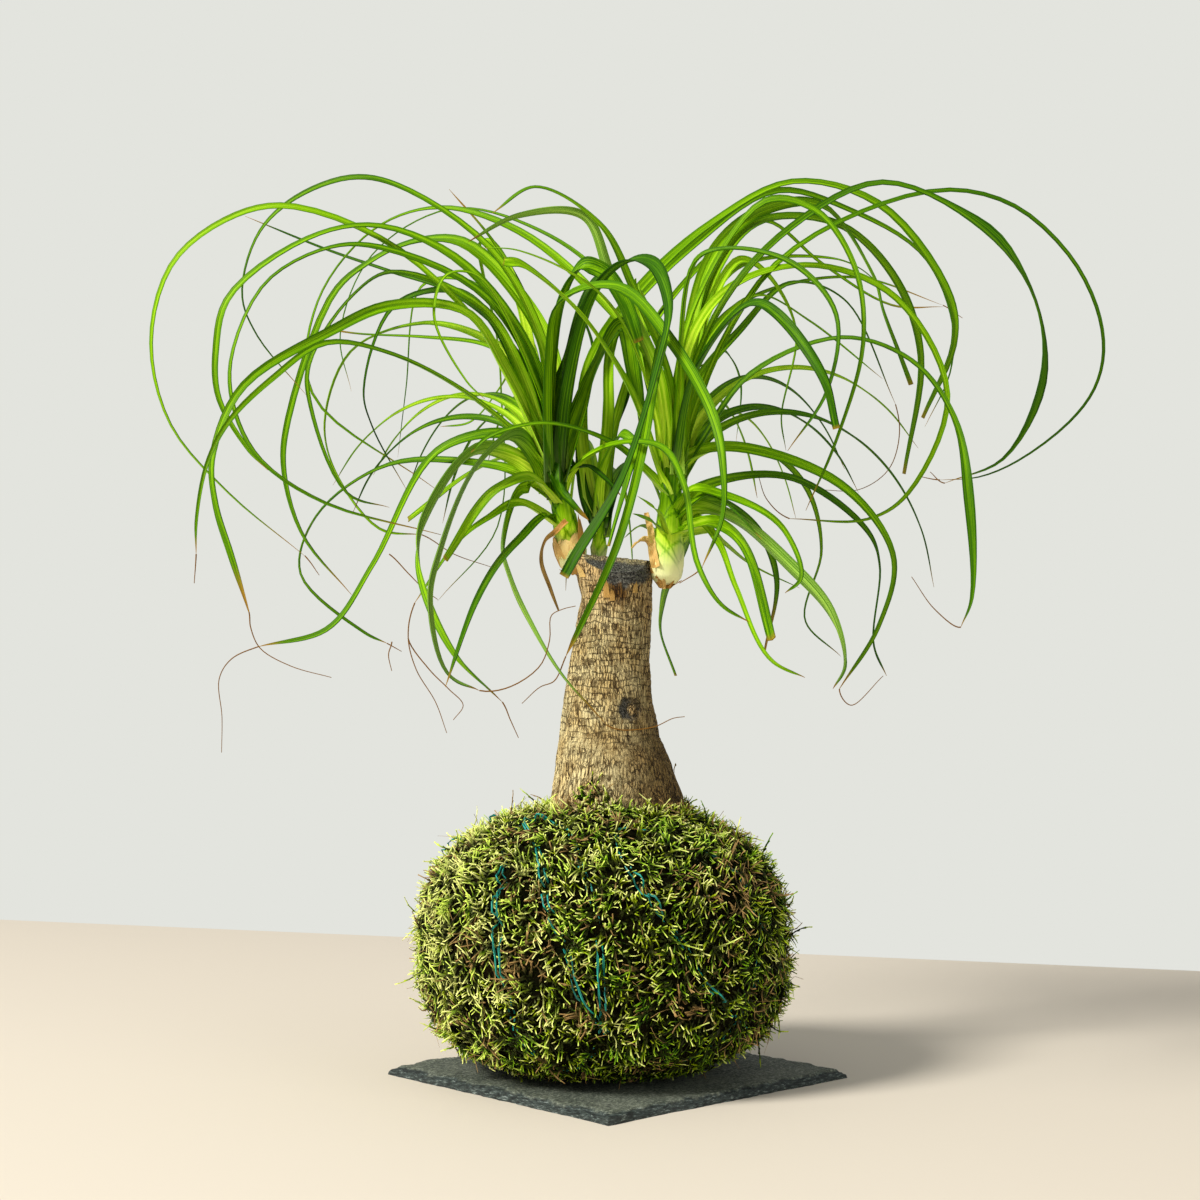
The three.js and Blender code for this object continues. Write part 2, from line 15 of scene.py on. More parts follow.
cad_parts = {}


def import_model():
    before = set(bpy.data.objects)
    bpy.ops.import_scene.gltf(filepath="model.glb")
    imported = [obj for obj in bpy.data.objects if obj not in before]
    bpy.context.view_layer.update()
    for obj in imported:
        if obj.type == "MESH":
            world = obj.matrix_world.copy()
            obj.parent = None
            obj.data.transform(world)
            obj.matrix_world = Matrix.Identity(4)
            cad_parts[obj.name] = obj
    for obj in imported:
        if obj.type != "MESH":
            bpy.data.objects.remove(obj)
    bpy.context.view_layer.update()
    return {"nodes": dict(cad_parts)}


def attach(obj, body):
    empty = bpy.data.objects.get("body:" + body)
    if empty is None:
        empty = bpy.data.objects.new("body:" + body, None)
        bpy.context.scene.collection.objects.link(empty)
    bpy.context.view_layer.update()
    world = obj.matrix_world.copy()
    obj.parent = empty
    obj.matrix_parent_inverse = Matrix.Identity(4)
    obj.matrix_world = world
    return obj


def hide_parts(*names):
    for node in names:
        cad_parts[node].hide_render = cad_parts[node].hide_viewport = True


MM = 0.001

# Driving sizes, the same as the part's. GAP is the clearance between the moss and the slate
SLATE_SIDE = 200
SLATE_THICK = 5.5
SLATE_TURN = math.radians(42.7)
GAP = 0.3

BALL_CENTRE = (-8, -1, 85)
BALL_RADIUS = 114
BALL_RISE = 81
BALL_UPPER_POWER = 2.3
BALL_LOWER_POWER = 3
TUFT_RELIEF = 4.5

TRUNK_FOOT = 112
TRUNK_TOP = 318
TRUNK_DEPTH_SHARE = 0.96
# Its outline: height, left edge and right edge
TRUNK_EDGES = [
    (112, -27, 27), (122, -43, 44), (138, -47, 49), (152, -44, 46), (167, -40, 41),
    (188, -37, 34), (206, -35, 26), (228, -32, 22), (253, -28.5, 20), (270, -25, 21),
    (291, -21.5, 22), (303, -23.5, 22.5), (311, -26, 21.5), (318, -24, 20),
]

# The trunk's top: its height over the middle of the plant, and its fall to the right and the front
SAWN_LEVEL = 315.5
SAWN_FALL = (-0.09, 0.02)

# How far below its first point a leaf leaves its sheath, and where the viewer stands
ROOT_DROP = 16
EYE = (-10, -1186, 224)

# How finely each is modelled: sides, rings up its side, and rings in its top
SLATE_MESH = (480, 7, 34)
TRUNK_MESH = (204, 150, 22)
SHEATH_MESH = (72, 64)
BED_SEGMENTS = 168
BED_RINGS = 84
THREAD_SIDES = 4
THREAD_RINGS = 620
WISP_SIDES = 4
WISP_RINGS = 28
FLAKE_MESH = (8, 12)
LEAF_ACROSS = 4
LEAF_ALONG = 56
SPRIG_SIDES = 3
SPRIG_RINGS = 3
STRAY_RINGS = 7
# The most rings that are made by one subdivision
MOST_RINGS = 100

# In a column of radius and height 1, the wall and the top lie past this
NEARLY_ONE = 0.999

# Slate: how much closer its rings lie towards its broken edge
EDGE_CROWDING = 1.9
# Its layers from the bottom: how thick each is, and how far in its edge lies, at least and beyond
SLATE_LAYERS = [(2.3, 0.0, 0.0), (1.1, 1.4, 2.6), (1.1, 2.8, 5.0), (1.0, 3.8, 9.0)]

# Leaves: how thick they are, how much wider than listed, how many degrees they roll open at the
# root and sway along their length, and how deep their channel is folded, at the root and further
LEAF_THICK = 0.55
BLADE_WIDER = 1.06
ROOT_OPENS = 18
LEAF_SWAY = 24
LEAF_FOLD = (0.8, 0.42)
WISP_RADIUS = 0.4
# Their width along them, as a share: slender, full and cut blunt
WIDTH_LEVELS = [0, 0.1, 0.3, 0.5, 0.75, 0.92, 1]
WIDTH_SLIM = [1, 0.95, 0.66, 0.44, 0.3, 0.19, 0.03]
WIDTH_FULL = [1, 1, 0.95, 0.85, 0.68, 0.4, 0.03]
WIDTH_CUT = [1, 1, 0.85, 0.75, 0.66, 0.58, 0.5]
TONE_SPREAD = 0.13
TONE_LIMITS = (0.18, 0.66)
# Leaf bases that clasp each sheath, and torn ends of old husk round its foot
BASE_COUNT = 6
FRAYED_COUNT = 9

# Thread: its two strands lie a little to each side of their course, in degrees round the ball.
# Where it shows it stands proud of the skin, and elsewhere it is sunk under it. Its twist is the
# turn of its plies over its whole length, in radians
THREAD_RADIUS = 0.6
STRANDS_ASIDE = (-0.8, 0.8)
THREAD_PROUD = 3.5
THREAD_SUNK = -2.6
THREAD_TWIST = 2600.0

# Moss: sprigs grow in clumps from a bed under the skin
BED_DEPTH = -2.2
ROOT_DEPTH = -1.8
SPRIG_COUNT = 20000
SPRIG_PIECES = 4
BARK_SPRIG_COUNT = 800
STRAY_COUNT = 260
STRAW_COUNT = 260
CLUMP_SPRIGS = 6
CLUMP_SPREAD = 2.8
CLUMP_STRAY = 0.008
LEAFLET_REACH = 1.5
LEAFLET_LEAN = 0.17
# Steps that spread any number of points evenly over a square
EVEN_STEPS = (0.7548776662, 0.5698402910)
# Kinds of moss: lengths, widths, lifts off the skin in degrees, and the flow up the skin or down it
SPRIGS = {"lengths": (6.5, 14.5), "widths": (0.64, 1.15), "lifts": (2, 44), "flow": -0.35}
BARK_SPRIGS = {"lengths": (5, 11), "widths": (0.8, 1.4), "lifts": (15, 60), "flow": 0.7}
STRAYS = {"lengths": (13, 23), "widths": (0.9, 1.5), "lifts": (10, 66), "flow": -0.2}
STRAWS = {"lengths": (12, 26), "widths": (0.35, 0.6), "lifts": (2, 26), "flow": -0.6}

# Bark: the height of a row of leaf scars in its shape, and the rows to a metre in its colour
LEAF_SCAR_ROW = 3.7
RING_ROWS = 265.0
PLATE_SCALE = 600.0
# The heights in metres between which its long cracks give way to rows of plates
PLATES_BEGIN = (0.184, 0.214)
# The scar of an old branch on its front, and the eye in it: x and z, and their half width and height
KNOT = (8, 223)
KNOT_SIZE = (8.2, 7.8)
KNOT_EYE = (10, 222.5)
KNOT_EYE_SIZE = (3.1, 3.4)

CAMERA_LENS = 57.87
CAMERA_PITCH = math.radians(3.17)
# In metres: how far the floor reaches to the sides and the front, how thick it is, and how far back
# it reaches on its left and right
FLOOR_REACH = 4
FLOOR_THICK = 0.04
FLOOR_BACK = (2.03, -0.75)
# Soft lights: name, place in metres, size, power and colour. All aim at the middle of the plant
LIGHTS = [
    ("key", (-2.92, -2.06, 2.92), 1.35, 246, (1.0, 0.98, 0.95)),
    ("fill", (1.6, -1.6, 1.0), 1.6, 8, (0.95, 0.98, 1.0)),
]
LIGHT_TARGET = (0, 0, 0.25)


def between(low, high, share):
    return low + (high - low) * share


def smooth_step(low, high, value):
    share = np.clip((value - low) / (high - low), 0, 1)
    return share * share * (3 - 2 * share)


def drawer(seed):
    """The part's own small seeded draw, for the leaves that a rule places."""
    factor = 16807
    limit = 2147483647
    state = seed
    while True:
        state = (state * factor) % limit
        yield state / limit


def display(red, green, blue):
    """A colour as a screen shows it, from 0 to 255, turned into light."""
    light = [((c / 255 + 0.055) / 1.055) ** 2.4 if c > 10 else c / 255 / 12.92 for c in (red, green, blue)]
    return (*light, 1)


def wander(point, size, seed=0):
    """Smooth noise from about -1 to 1 at a point in millimetres, its lumps about size across."""
    x, y, z = point
    return noise.noise(Vector((x / size + 7.3 * seed, y / size - 3.1 * seed, z / size + 5.7 * seed)))


def unit(rows):
    """Directions of length 1."""
    return rows / np.linalg.norm(rows, axis=-1, keepdims=True)


# Modelling by hand

def select_only(*pieces):
    if bpy.context.object and bpy.context.object.mode != "OBJECT":
        bpy.ops.object.mode_set(mode="OBJECT")
    bpy.ops.object.select_all(action="DESELECT")
    for piece in pieces:
        piece.select_set(True)
    if pieces:
        bpy.context.view_layer.objects.active = pieces[0]


def pick(piece, mode, wanted):
    """Selects, in edit mode, the edges or faces for which wanted() is true."""
    bpy.ops.mesh.select_mode(type=mode)
    bpy.ops.mesh.select_all(action="DESELECT")
    shell = bmesh.from_edit_mesh(piece.data)
    for part in shell.edges if mode == "EDGE" else shell.faces:
        if wanted(part):
            part.select_set(True)
    bmesh.update_edit_mesh(piece.data)


def is_upright(edge):
    low, high = sorted(corner.co.z for corner in edge.verts)
    return high - low > 0.001


def add_column(name, sides, rings, top_rings=0):
    """A closed upright column of radius 1 from z 0 to 1, with rings up its side and in its top.
    More than MOST_RINGS are made in two rounds, the second in tenths."""
    select_only()
    bpy.ops.mesh.primitive_cylinder_add(vertices=sides, radius=1, depth=1, location=(0, 0, 0.5))
    column = bpy.context.object
    column.name = name
    bpy.ops.object.transform_apply()
    bpy.ops.object.mode_set(mode="EDIT")
    for parts in [rings] if rings <= MOST_RINGS else [rings // 10, 10]:
        pick(column, "EDGE", is_upright)
        bpy.ops.mesh.subdivide(number_cuts=parts - 1)
    if top_rings:
        pick(column, "FACE", lambda face: face.normal.z > 0.5)
        for _ in range(top_rings):
            bpy.ops.mesh.inset(thickness=1 / (top_rings + 1))
        bpy.ops.mesh.poke()
    bpy.ops.object.mode_set(mode="OBJECT")
    return column


def add_strip(name, across, along):
    """A thin closed strip, its width along X and its length along Y from -1 to 1, 1 thick."""
    select_only()
    bpy.ops.mesh.primitive_grid_add(x_subdivisions=across, y_subdivisions=along, size=2, calc_uvs=True)
    strip = bpy.context.object
    strip.name = name
    wall = strip.modifiers.new("thickness", "SOLIDIFY")
    wall.thickness = 1
    wall.offset = 0
    bpy.ops.object.modifier_apply(modifier=wall.name)
    return strip


def reshape(piece, place):
    """Moves every vertex to place(x, y, z), which answers in millimetres."""
    for vertex in piece.data.vertices:
        vertex.co = Vector(place(*vertex.co)) * MM


def face_out(piece, weld=False):
    """Turns every face outwards. Weld first merges the points that lie on each other."""
    select_only(piece)
    bpy.ops.object.mode_set(mode="EDIT")
    bpy.ops.mesh.select_all(action="SELECT")
    if weld:
        bpy.ops.mesh.remove_doubles(threshold=1e-6)
    bpy.ops.mesh.normals_make_consistent(inside=False)
    bpy.ops.object.mode_set(mode="OBJECT")


def paint(piece, name, colours):
    """Stores four values from 0 to 1 at every vertex, for the piece's material to read."""
    layer = piece.data.attributes.new(name, "FLOAT_COLOR", "POINT")
    layer.data.foreach_set("color", np.asarray(colours, dtype=np.float32).ravel())


def dress(piece, material, node, angle=60):
    """Gives a finished piece its material and its places in the frame."""
    select_only(piece)
    bpy.ops.object.shade_smooth_by_angle(angle=math.radians(angle))
    piece.data.materials.clear()
    piece.data.materials.append(material)
    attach(piece, "root")
    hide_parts(node)


def settle(piece, material, node, angle=60):
    """Finishes a closed piece whose faces may still point inwards."""
    face_out(piece)
    dress(piece, material, node, angle)


class Template:
    """One modelled shape, read out so that its copies can be laid along their own paths."""

    def __init__(self, piece):
        mesh = piece.data
        self.points = np.array([vertex.co for vertex in mesh.vertices])
        self.faces = np.array([face.vertices for face in mesh.polygons])
        loops = mesh.uv_layers.active.data if mesh.uv_layers.active else []
        self.uvs = np.array([loop.uv for loop in loops])
        bpy.data.objects.remove(piece)


class Heap:
    """Copies gathered into one mesh, each with its own points and painted values."""

    def __init__(self):
        self.points, self.faces, self.uvs, self.tones = [], [], [], []
        self.count = 0

    def gather(self, points, faces, uvs, tones):
        """Adds points, and faces that count from the first of them."""
        self.points.append(points)
        self.faces.append(faces + self.count)
        self.uvs.append(uvs)
        self.tones.append(tones)
        self.count += len(points)

    def add(self, points, template, tones):
        self.gather(points, template.faces, template.uvs, tones)

    def piece(self, name, tone_name):
        mesh = bpy.data.meshes.new(name)
        points = np.concatenate(self.points) * MM
        mesh.from_pydata(points.tolist(), [], np.concatenate(self.faces).tolist())
        uvs = np.concatenate(self.uvs)
        if len(uvs):
            mesh.uv_layers.new(name="UVMap").data.foreach_set("uv", uvs.astype(np.float32).ravel())
        made = bpy.data.objects.new(name, mesh)
        bpy.context.scene.collection.objects.link(made)
        paint(made, tone_name, np.concatenate(self.tones))
        return made


# Shapes along a path

def curve_points(points, levels):
    """Places and directions on a smooth curve through the points, at levels from 0 to 1. Each
    direction at a point weighs its two neighbours by the root of how far off they are."""
    points = np.asarray(points, dtype=float)
    ends = np.vstack([2 * points[0] - points[1], points, 2 * points[-1] - points[-2]])
    spans = len(points) - 1
    place = np.asarray(levels) * spans
    first = np.minimum(place.astype(int), spans - 1)
    w = (place - first)[:, None]
    before, low, high, after = (ends[first + k] for k in range(4))

    def gap(a, b):
        return np.sqrt(np.linalg.norm(b - a, axis=1))[:, None]

    d0, d1, d2 = gap(before, low), gap(low, high), gap(high, after)
    t1 = ((low - before) / d0 - (high - before) / (d0 + d1) + (high - low) / d1) * d1
    t2 = ((high - low) / d1 - (after - low) / (d1 + d2) + (after - high) / d2) * d1
    square = -3 * low + 3 * high - 2 * t1 - t2
    cube = 2 * low - 2 * high + t1 + t2
    where = low + t1 * w + square * w ** 2 + cube * w ** 3
    heading = t1 + 2 * square * w + 3 * cube * w ** 2
    return where, unit(heading)


def tube(template, line, along, radii):
    """Lays a column's rings along a line, with a radius at each ring."""
    rings = len(line) - 1
    ring = np.rint(template.points[:, 2] * rings).astype(int)
    guide = np.where(np.abs(along[:, 2:3]) < 0.9, [[0.0, 0.0, 1.0]], [[0.0, 1.0, 0.0]])
    side = unit(np.cross(along, guide))
    over = np.cross(along, side)
    half = radii[ring][:, None]
    return line[ring] + half * (side[ring] * template.points[:, 0:1] + over[ring] * template.points[:, 1:2])


# Material building

def add_node(tree, kind, inputs=None, **settings):
    """Adds a node, with its settings, and sets or links each of its inputs."""
    made = tree.nodes.new(kind)
    for key, value in settings.items():
        setattr(made, key, value)
    for key, value in (inputs or {}).items():
        if isinstance(value, bpy.types.NodeSocket):
            tree.links.new(value, made.inputs[key])
        else:
            made.inputs[key].default_value = value
    return made


def mixed(tree, share, first, second, way="MIX"):
    """The socket of a colour mixed from two others, each a socket or a colour as a screen shows it."""
    first, second = (display(*c) if isinstance(c, tuple) else c for c in (first, second))
    inputs = {0: share, 6: first, 7: second}
    return add_node(tree, "ShaderNodeMix", inputs, data_type="RGBA", blend_type=way).outputs[2]


def worked(tree, operation, first, second=0.5):
    return add_node(tree, "ShaderNodeMath", {0: first, 1: second}, operation=operation).outputs[0]


def times(tree, first, second):
    return worked(tree, "MULTIPLY", first, second)


def plus(tree, first, second):
    return worked(tree, "ADD", first, second)


def from_half(tree, value):
    return worked(tree, "SUBTRACT", value, 0.5)


def varied(tree, value, pattern, reach):
    """A value raised and lowered by a pattern that wanders round one half."""
    return plus(tree, value, times(tree, from_half(tree, pattern), reach))


def ranged(tree, value, low, high, to_low=0.0, to_high=1.0):
    inputs = {"Value": value, "From Min": low, "From Max": high, "To Min": to_low, "To Max": to_high}
    return add_node(tree, "ShaderNodeMapRange", inputs, interpolation_type="SMOOTHSTEP").outputs[0]


def speckle(tree, vector, scale, detail=3.0, rough=0.55):
    inputs = {"Vector": vector, "Scale": scale, "Detail": detail, "Roughness": rough}
    return add_node(tree, "ShaderNodeTexNoise", inputs).outputs[0]


def colour_ramp(tree, value, stops):
    """The colour for a value, given as (place from 0 to 1, displayed colour) stops."""
    ramp = add_node(tree, "ShaderNodeValToRGB", {0: value})
    elements = ramp.color_ramp.elements
    for place, colour in stops[1:-1]:
        elements.new(place)
    for element, (place, colour) in zip(elements, stops):
        element.position = place
        element.color = display(*colour)
    return ramp.outputs[0]


def stretched(tree, vector, sizes):
    return add_node(tree, "ShaderNodeVectorMath", {0: vector, 1: sizes}, operation="MULTIPLY").outputs[0]


def bumped(tree, height, strength, distance):
    inputs = {"Height": height, "Strength": strength, "Distance": distance}
    return add_node(tree, "ShaderNodeBump", inputs).outputs[0]


def surface(tree, shader, colour, roughness, bump, gloss=0.5, tint=(1.0, 1.0, 1.0)):
    """Links a material's colour and roughness, and its bump: a height, a strength and a distance.
    Sets how strong its highlights are, and their tint."""
    tree.links.new(colour, shader.inputs["Base Color"])
    tree.links.new(roughness, shader.inputs["Roughness"])
    tree.links.new(bumped(tree, *bump), shader.inputs["Normal"])
    shader.inputs["Specular IOR Level"].default_value = gloss
    shader.inputs["Specular Tint"].default_value = (*tint, 1.0)


def new_material(name, colour_space="Object"):
    """A material, its node tree, its shader, and the coordinates that its patterns read."""
    material = bpy.data.materials.new(name)
    material.use_nodes = True
    tree = material.node_tree
    shader = tree.nodes["Principled BSDF"]
    coordinates = add_node(tree, "ShaderNodeTexCoord").outputs[colour_space]
    return material, tree, shader, coordinates


def painted(tree, name):
    """The painted values of a piece: red, green and blue sockets, and alpha."""
    values = add_node(tree, "ShaderNodeAttribute", attribute_name=name)
    split = add_node(tree, "ShaderNodeSeparateColor", {0: values.outputs["Color"]})
    return split.outputs[0], split.outputs[1], split.outputs[2], values.outputs["Alpha"]


def new_group(name, inputs, outputs):
    """A node group with vector or number inputs, and outputs that are numbers."""
    group = bpy.data.node_groups.new(name, "ShaderNodeTree")
    for label, value in inputs.items():
        kind = "NodeSocketVector" if value is None else "NodeSocketFloat"
        socket = group.interface.new_socket(name=label, in_out="INPUT", socket_type=kind)
        if value is not None:
            socket.default_value = value
    for label in outputs:
        group.interface.new_socket(name=label, in_out="OUTPUT", socket_type="NodeSocketFloat")
    return group, group.nodes.new("NodeGroupInput").outputs, group.nodes.new("NodeGroupOutput")


def mottle_group():
    """Weathering at two sizes: a value round one half that lightens and darkens a surface."""
    inputs = {"Vector": None, "Patch Scale": 40.0, "Grain Scale": 600.0}
    group, given, result = new_group("mottle", inputs, ("Patch", "Grain"))
    patch = speckle(group, given["Vector"], given["Patch Scale"], 4.0)
    grain = speckle(group, given["Vector"], given["Grain Scale"], 5.0, 0.65)
    group.links.new(patch, result.inputs["Patch"])
    group.links.new(grain, result.inputs["Grain"])
    return group


def vein_group():
    """The fine parallel veins of a blade, from its own across and along coordinates."""
    group, given, result = new_group("parallel_veins", {"UV": None, "Veins": 26.0}, ("Lines", "Streaks"))
    across, along, _ = add_node(group, "ShaderNodeSeparateXYZ", {0: given["UV"]}).outputs

    def pattern(wide, long, detail):
        sizes = {0: times(group, across, wide), 1: times(group, along, long)}
        return speckle(group, add_node(group, "ShaderNodeCombineXYZ", sizes).outputs[0], 1.0, detail)

    group.links.new(pattern(given["Veins"], 2.5, 1.0), result.inputs["Lines"])
    group.links.new(pattern(5.0, 9.0, 3.0), result.inputs["Streaks"])
    return group


def bark_group():
    """Old bark, as masks: the cracks between its small plates, which run long and upright down
    the trunk, and the rings of old leaf scars that cross its upper part."""
    group, given, result = new_group("old_bark", {"Vector": None}, ("Crack", "Ring"))
    vector = given["Vector"]
    height = add_node(group, "ShaderNodeSeparateXYZ", {0: vector}).outputs[2]
    upper = ranged(group, height, *PLATES_BEGIN)
    waves = add_node(group, "ShaderNodeTexNoise", {"Vector": vector, "Scale": 60.0, "Detail": 1.0})
    shift = stretched(group, waves.outputs[1], (0.005, 0.005, 0.005))
    bent = add_node(group, "ShaderNodeVectorMath", {0: vector, 1: shift}, operation="ADD").outputs[0]
    bent_x, bent_y, bent_z = add_node(group, "ShaderNodeSeparateXYZ", {0: bent}).outputs
    drift = times(group, speckle(group, vector, 45.0, 3.0), 2.6)
    rise = plus(group, times(group, height, RING_ROWS), drift)

    def cracks(level, reach):
        """The gaps between cells of a pattern whose height is given apart from its across."""
        place = add_node(group, "ShaderNodeCombineXYZ", {0: bent_x, 1: bent_y, 2: level}).outputs[0]
        inputs = {"Vector": place, "Scale": PLATE_SCALE}
        cells = add_node(group, "ShaderNodeTexVoronoi", inputs, feature="DISTANCE_TO_EDGE")
        return ranged(group, cells.outputs["Distance"], 0.04, reach, 1.0, 0.0)

    tall = cracks(times(group, bent_z, 0.2), 0.15)
    in_rows = cracks(times(group, worked(group, "FLOOR", rise), 0.017), 0.14)
    weight = ranged(group, speckle(group, vector, 150.0, 3.0), 0.4, 0.6, 0.45, 1.0)
    both = add_node(group, "ShaderNodeMix", {0: upper, 2: tall, 3: in_rows}).outputs[0]
    from_row = worked(group, "ABSOLUTE", from_half(group, worked(group, "FRACT", rise)))
    line = ranged(group, from_row, 0.36, 0.5)
    broken = ranged(group, speckle(group, vector, 170.0, 2.0), 0.4, 0.58)
    ring = times(group, times(group, line, broken), ranged(group, upper, 0, 1, 0.2, 1.0))
    group.links.new(times(group, both, weight), result.inputs["Crack"])
    group.links.new(ring, result.inputs["Ring"])
    return group


def place_group(tree, group, inputs):
    """The outputs of a shared group, placed in a material with its own values."""
    return add_node(tree, "ShaderNodeGroup", inputs, node_tree=group).outputs


def weathered(tree, mottle, place, patch, grain):
    """The outputs of the weathering group at a patch scale and a grain scale."""
    return place_group(tree, mottle, {"Vector": place, "Patch Scale": patch, "Grain Scale": grain})


def leaf_material(veins):
    """Living leaf: tone, dryness, underside and paleness are painted on it in that order."""
    material, tree, shader, uv = new_material("living_leaf", "UV")
    tone, dry, under, pale = painted(tree, "leaf_state")
    marks = place_group(tree, veins, {"UV": uv, "Veins": 24.0})
    lines = ranged(tree, marks["Lines"], 0.3, 0.7)
    light = varied(tree, varied(tree, tone, lines, 0.3), marks["Streaks"], 0.5)
    across = add_node(tree, "ShaderNodeSeparateXYZ", {0: uv}).outputs[0]
    off_middle = worked(tree, "ABSOLUTE", from_half(tree, across))
    light = plus(tree, light, ranged(tree, off_middle, 0.3, 0.5, 0.03, -0.13))
    stops = (0.0, (8, 44, 6)), (0.35, (58, 110, 2)), (0.65, (138, 190, 6)), (1.0, (216, 242, 64))
    green = colour_ramp(tree, light, stops)
    silver = mixed(tree, lines, (60, 112, 10), (160, 198, 88))
    colour = mixed(tree, times(tree, under, 0.75), green, silver)
    colour = mixed(tree, pale, colour, (240, 240, 178))
    husk = mixed(tree, marks["Streaks"], (176, 138, 44), (120, 84, 34))
    husk = mixed(tree, under, husk, (128, 88, 36))
    colour = mixed(tree, dry, colour, husk)
    roughness = ranged(tree, lines, 0, 1, 0.34, 0.5)
    surface(tree, shader, colour, roughness, (lines, 0.35, 0.00025), 0.12, (0.85, 1.0, 0.45))
    return material


def husk_material(veins, mottle):
    """Dried papery leaf: how dark it has gone, and how rusty, are painted on it."""
    material, tree, shader, uv = new_material("papery_husk", "UV")
    dark, rusty, _, _ = painted(tree, "husk_state")
    place = add_node(tree, "ShaderNodeTexCoord").outputs["Object"]
    marks = place_group(tree, veins, {"UV": uv, "Veins": 16.0})
    spots = weathered(tree, mottle, place, 220.0, 1500.0)
    lines = ranged(tree, marks["Lines"], 0.3, 0.7)
    pale = mixed(tree, spots["Patch"], (255, 236, 166), (252, 208, 112))
    rust = mixed(tree, spots["Patch"], (226, 162, 54), (182, 116, 30))
    colour = mixed(tree, rusty, pale, rust)
    colour = mixed(tree, dark, colour, (104, 84, 14))
    colour = mixed(tree, times(tree, lines, 0.16), colour, (130, 90, 34))
    roughness = ranged(tree, spots["Grain"], 0.2, 0.8, 0.55, 0.8)
    surface(tree, shader, colour, roughness, (lines, 0.6, 0.0004))
    return material


def bark_material(mottle, plates):
    """Bark: crack depth, the cut's dark wood, warmth and shade are painted on it in that order."""
    material, tree, shader, place = new_material("cracked_bark")
    crack, wound, warm, shade = painted(tree, "bark_state")
    old = place_group(tree, plates, {"Vector": place})
    streaks = speckle(tree, stretched(tree, place, (1.0, 1.0, 0.2)), 620.0, 5.0, 0.7)
    spots = weathered(tree, mottle, place, 75.0, 900.0)
    tan = mixed(tree, ranged(tree, spots["Patch"], 0.3, 0.7), (254, 236, 176), (240, 210, 142))
    tan = mixed(tree, times(tree, warm, 0.45), tan, (228, 178, 118))
    tan = mixed(tree, ranged(tree, streaks, 0.48, 0.62, 0.0, 0.8), tan, (104, 72, 14))
    tan = mixed(tree, ranged(tree, crack, 0.2, 0.9, 0.0, 0.3), tan, (90, 64, 28))
    tan = mixed(tree, times(tree, old["Ring"], 0.6), tan, (88, 62, 22))
    tan = mixed(tree, times(tree, old["Crack"], 0.88), tan, (56, 36, 2))
    # The shade value multiplies in painted shade on the bark's right side, with its burnt stripe and scar.
    tan = mixed(tree, shade, tan, (118, 98, 56), "MULTIPLY")
    cut = mixed(tree, ranged(tree, spots["Grain"], 0.35, 0.7), (14, 14, 12), (132, 130, 120))
    colour = mixed(tree, wound, tan, cut)
    dents = plus(tree, old["Crack"], times(tree, old["Ring"], 0.8))
    rough = plus(tree, times(tree, streaks, -0.8), times(tree, spots["Grain"], 0.5))
    height = worked(tree, "SUBTRACT", rough, dents)
    roughness = ranged(tree, streaks, 0.3, 0.7, 0.72, 0.92)
    surface(tree, shader, colour, roughness, (height, 1.0, 0.0012), 0.25)
    return material


def moss_material(mottle):
    """Moss sprigs: tone (with painted light and shade), brownness and height up the sprig are painted on
    them.
    """
    material, tree, shader, place = new_material("living_moss")
    tone, brown, tip, _ = painted(tree, "moss_state")
    spots = weathered(tree, mottle, place, 60.0, 1300.0)
    light = varied(tree, tone, spots["Grain"], 0.5)
    # Painted highlight: the tone rises towards each sprig's tip, up to the pale top of the ramps.
    light = plus(tree, light, ranged(tree, tip, 0.3, 1.0, -0.14, 0.5))
    yellow_stops = (0.0, (14, 28, 0)), (0.35, (66, 94, 0)), (0.68, (180, 202, 10)), (1.0, (252, 255, 156))
    fresh_stops = (0.0, (6, 28, 2)), (0.35, (40, 88, 4)), (0.68, (130, 184, 12)), (1.0, (226, 252, 100))
    yellow = colour_ramp(tree, light, yellow_stops)
    fresh = colour_ramp(tree, light, fresh_stops)
    green = mixed(tree, ranged(tree, spots["Patch"], 0.46, 0.6), yellow, fresh)
    dead = mixed(tree, spots["Grain"], (112, 78, 34), (218, 178, 116))
    colour = mixed(tree, brown, green, dead)
    # Painted shade: each sprig goes near black towards its root, deep in the moss.
    colour = mixed(tree, ranged(tree, tip, 0.1, 0.9, 1.0, 0.0), colour, (5, 9, 0))
    roughness = ranged(tree, spots["Grain"], 0.3, 0.7, 0.4, 0.7)
    surface(tree, shader, colour, roughness, (spots["Grain"], 0.3, 0.0003), 0.38, (0.9, 1.0, 0.3))
    return material


def moss_bed_material(mottle):
    """The dark matted bed that the sprigs grow from, deepened to near black as painted shade between them.
    """
    material, tree, shader, place = new_material("moss_bed")
    spots = weathered(tree, mottle, place, 90.0, 700.0)
    # Painted shade: the bed is near black, for the shade deep between the sprigs.
    colour = mixed(tree, ranged(tree, spots["Patch"], 0.35, 0.65), (8, 13, 0), (18, 11, 2))
    colour = mixed(tree, ranged(tree, spots["Grain"], 0.52, 0.72, 0.0, 0.8), colour, (52, 58, 6))
    roughness = ranged(tree, spots["Grain"], 0.3, 0.7, 0.85, 1.0)
    surface(tree, shader, colour, roughness, (spots["Grain"], 1.0, 0.002), 0.05)
    return material


def thread_material():
    """Twisted teal thread: its plies wind round it, drawn from its own coordinates."""
    material, tree, shader, uv = new_material("teal_thread", "UV")
    around, along, _ = add_node(tree, "ShaderNodeSeparateXYZ", {0: uv}).outputs
    twist = plus(tree, times(tree, along, THREAD_TWIST), times(tree, around, 4 * math.pi))
    share = ranged(tree, worked(tree, "SINE", twist), -1.0, 1.0)
    colour = mixed(tree, share, (0, 92, 84), (8, 164, 146))
    surface(tree, shader, colour, ranged(tree, share, 0, 1, 0.65, 0.45), (share, 0.7, 0.0002))
    return material


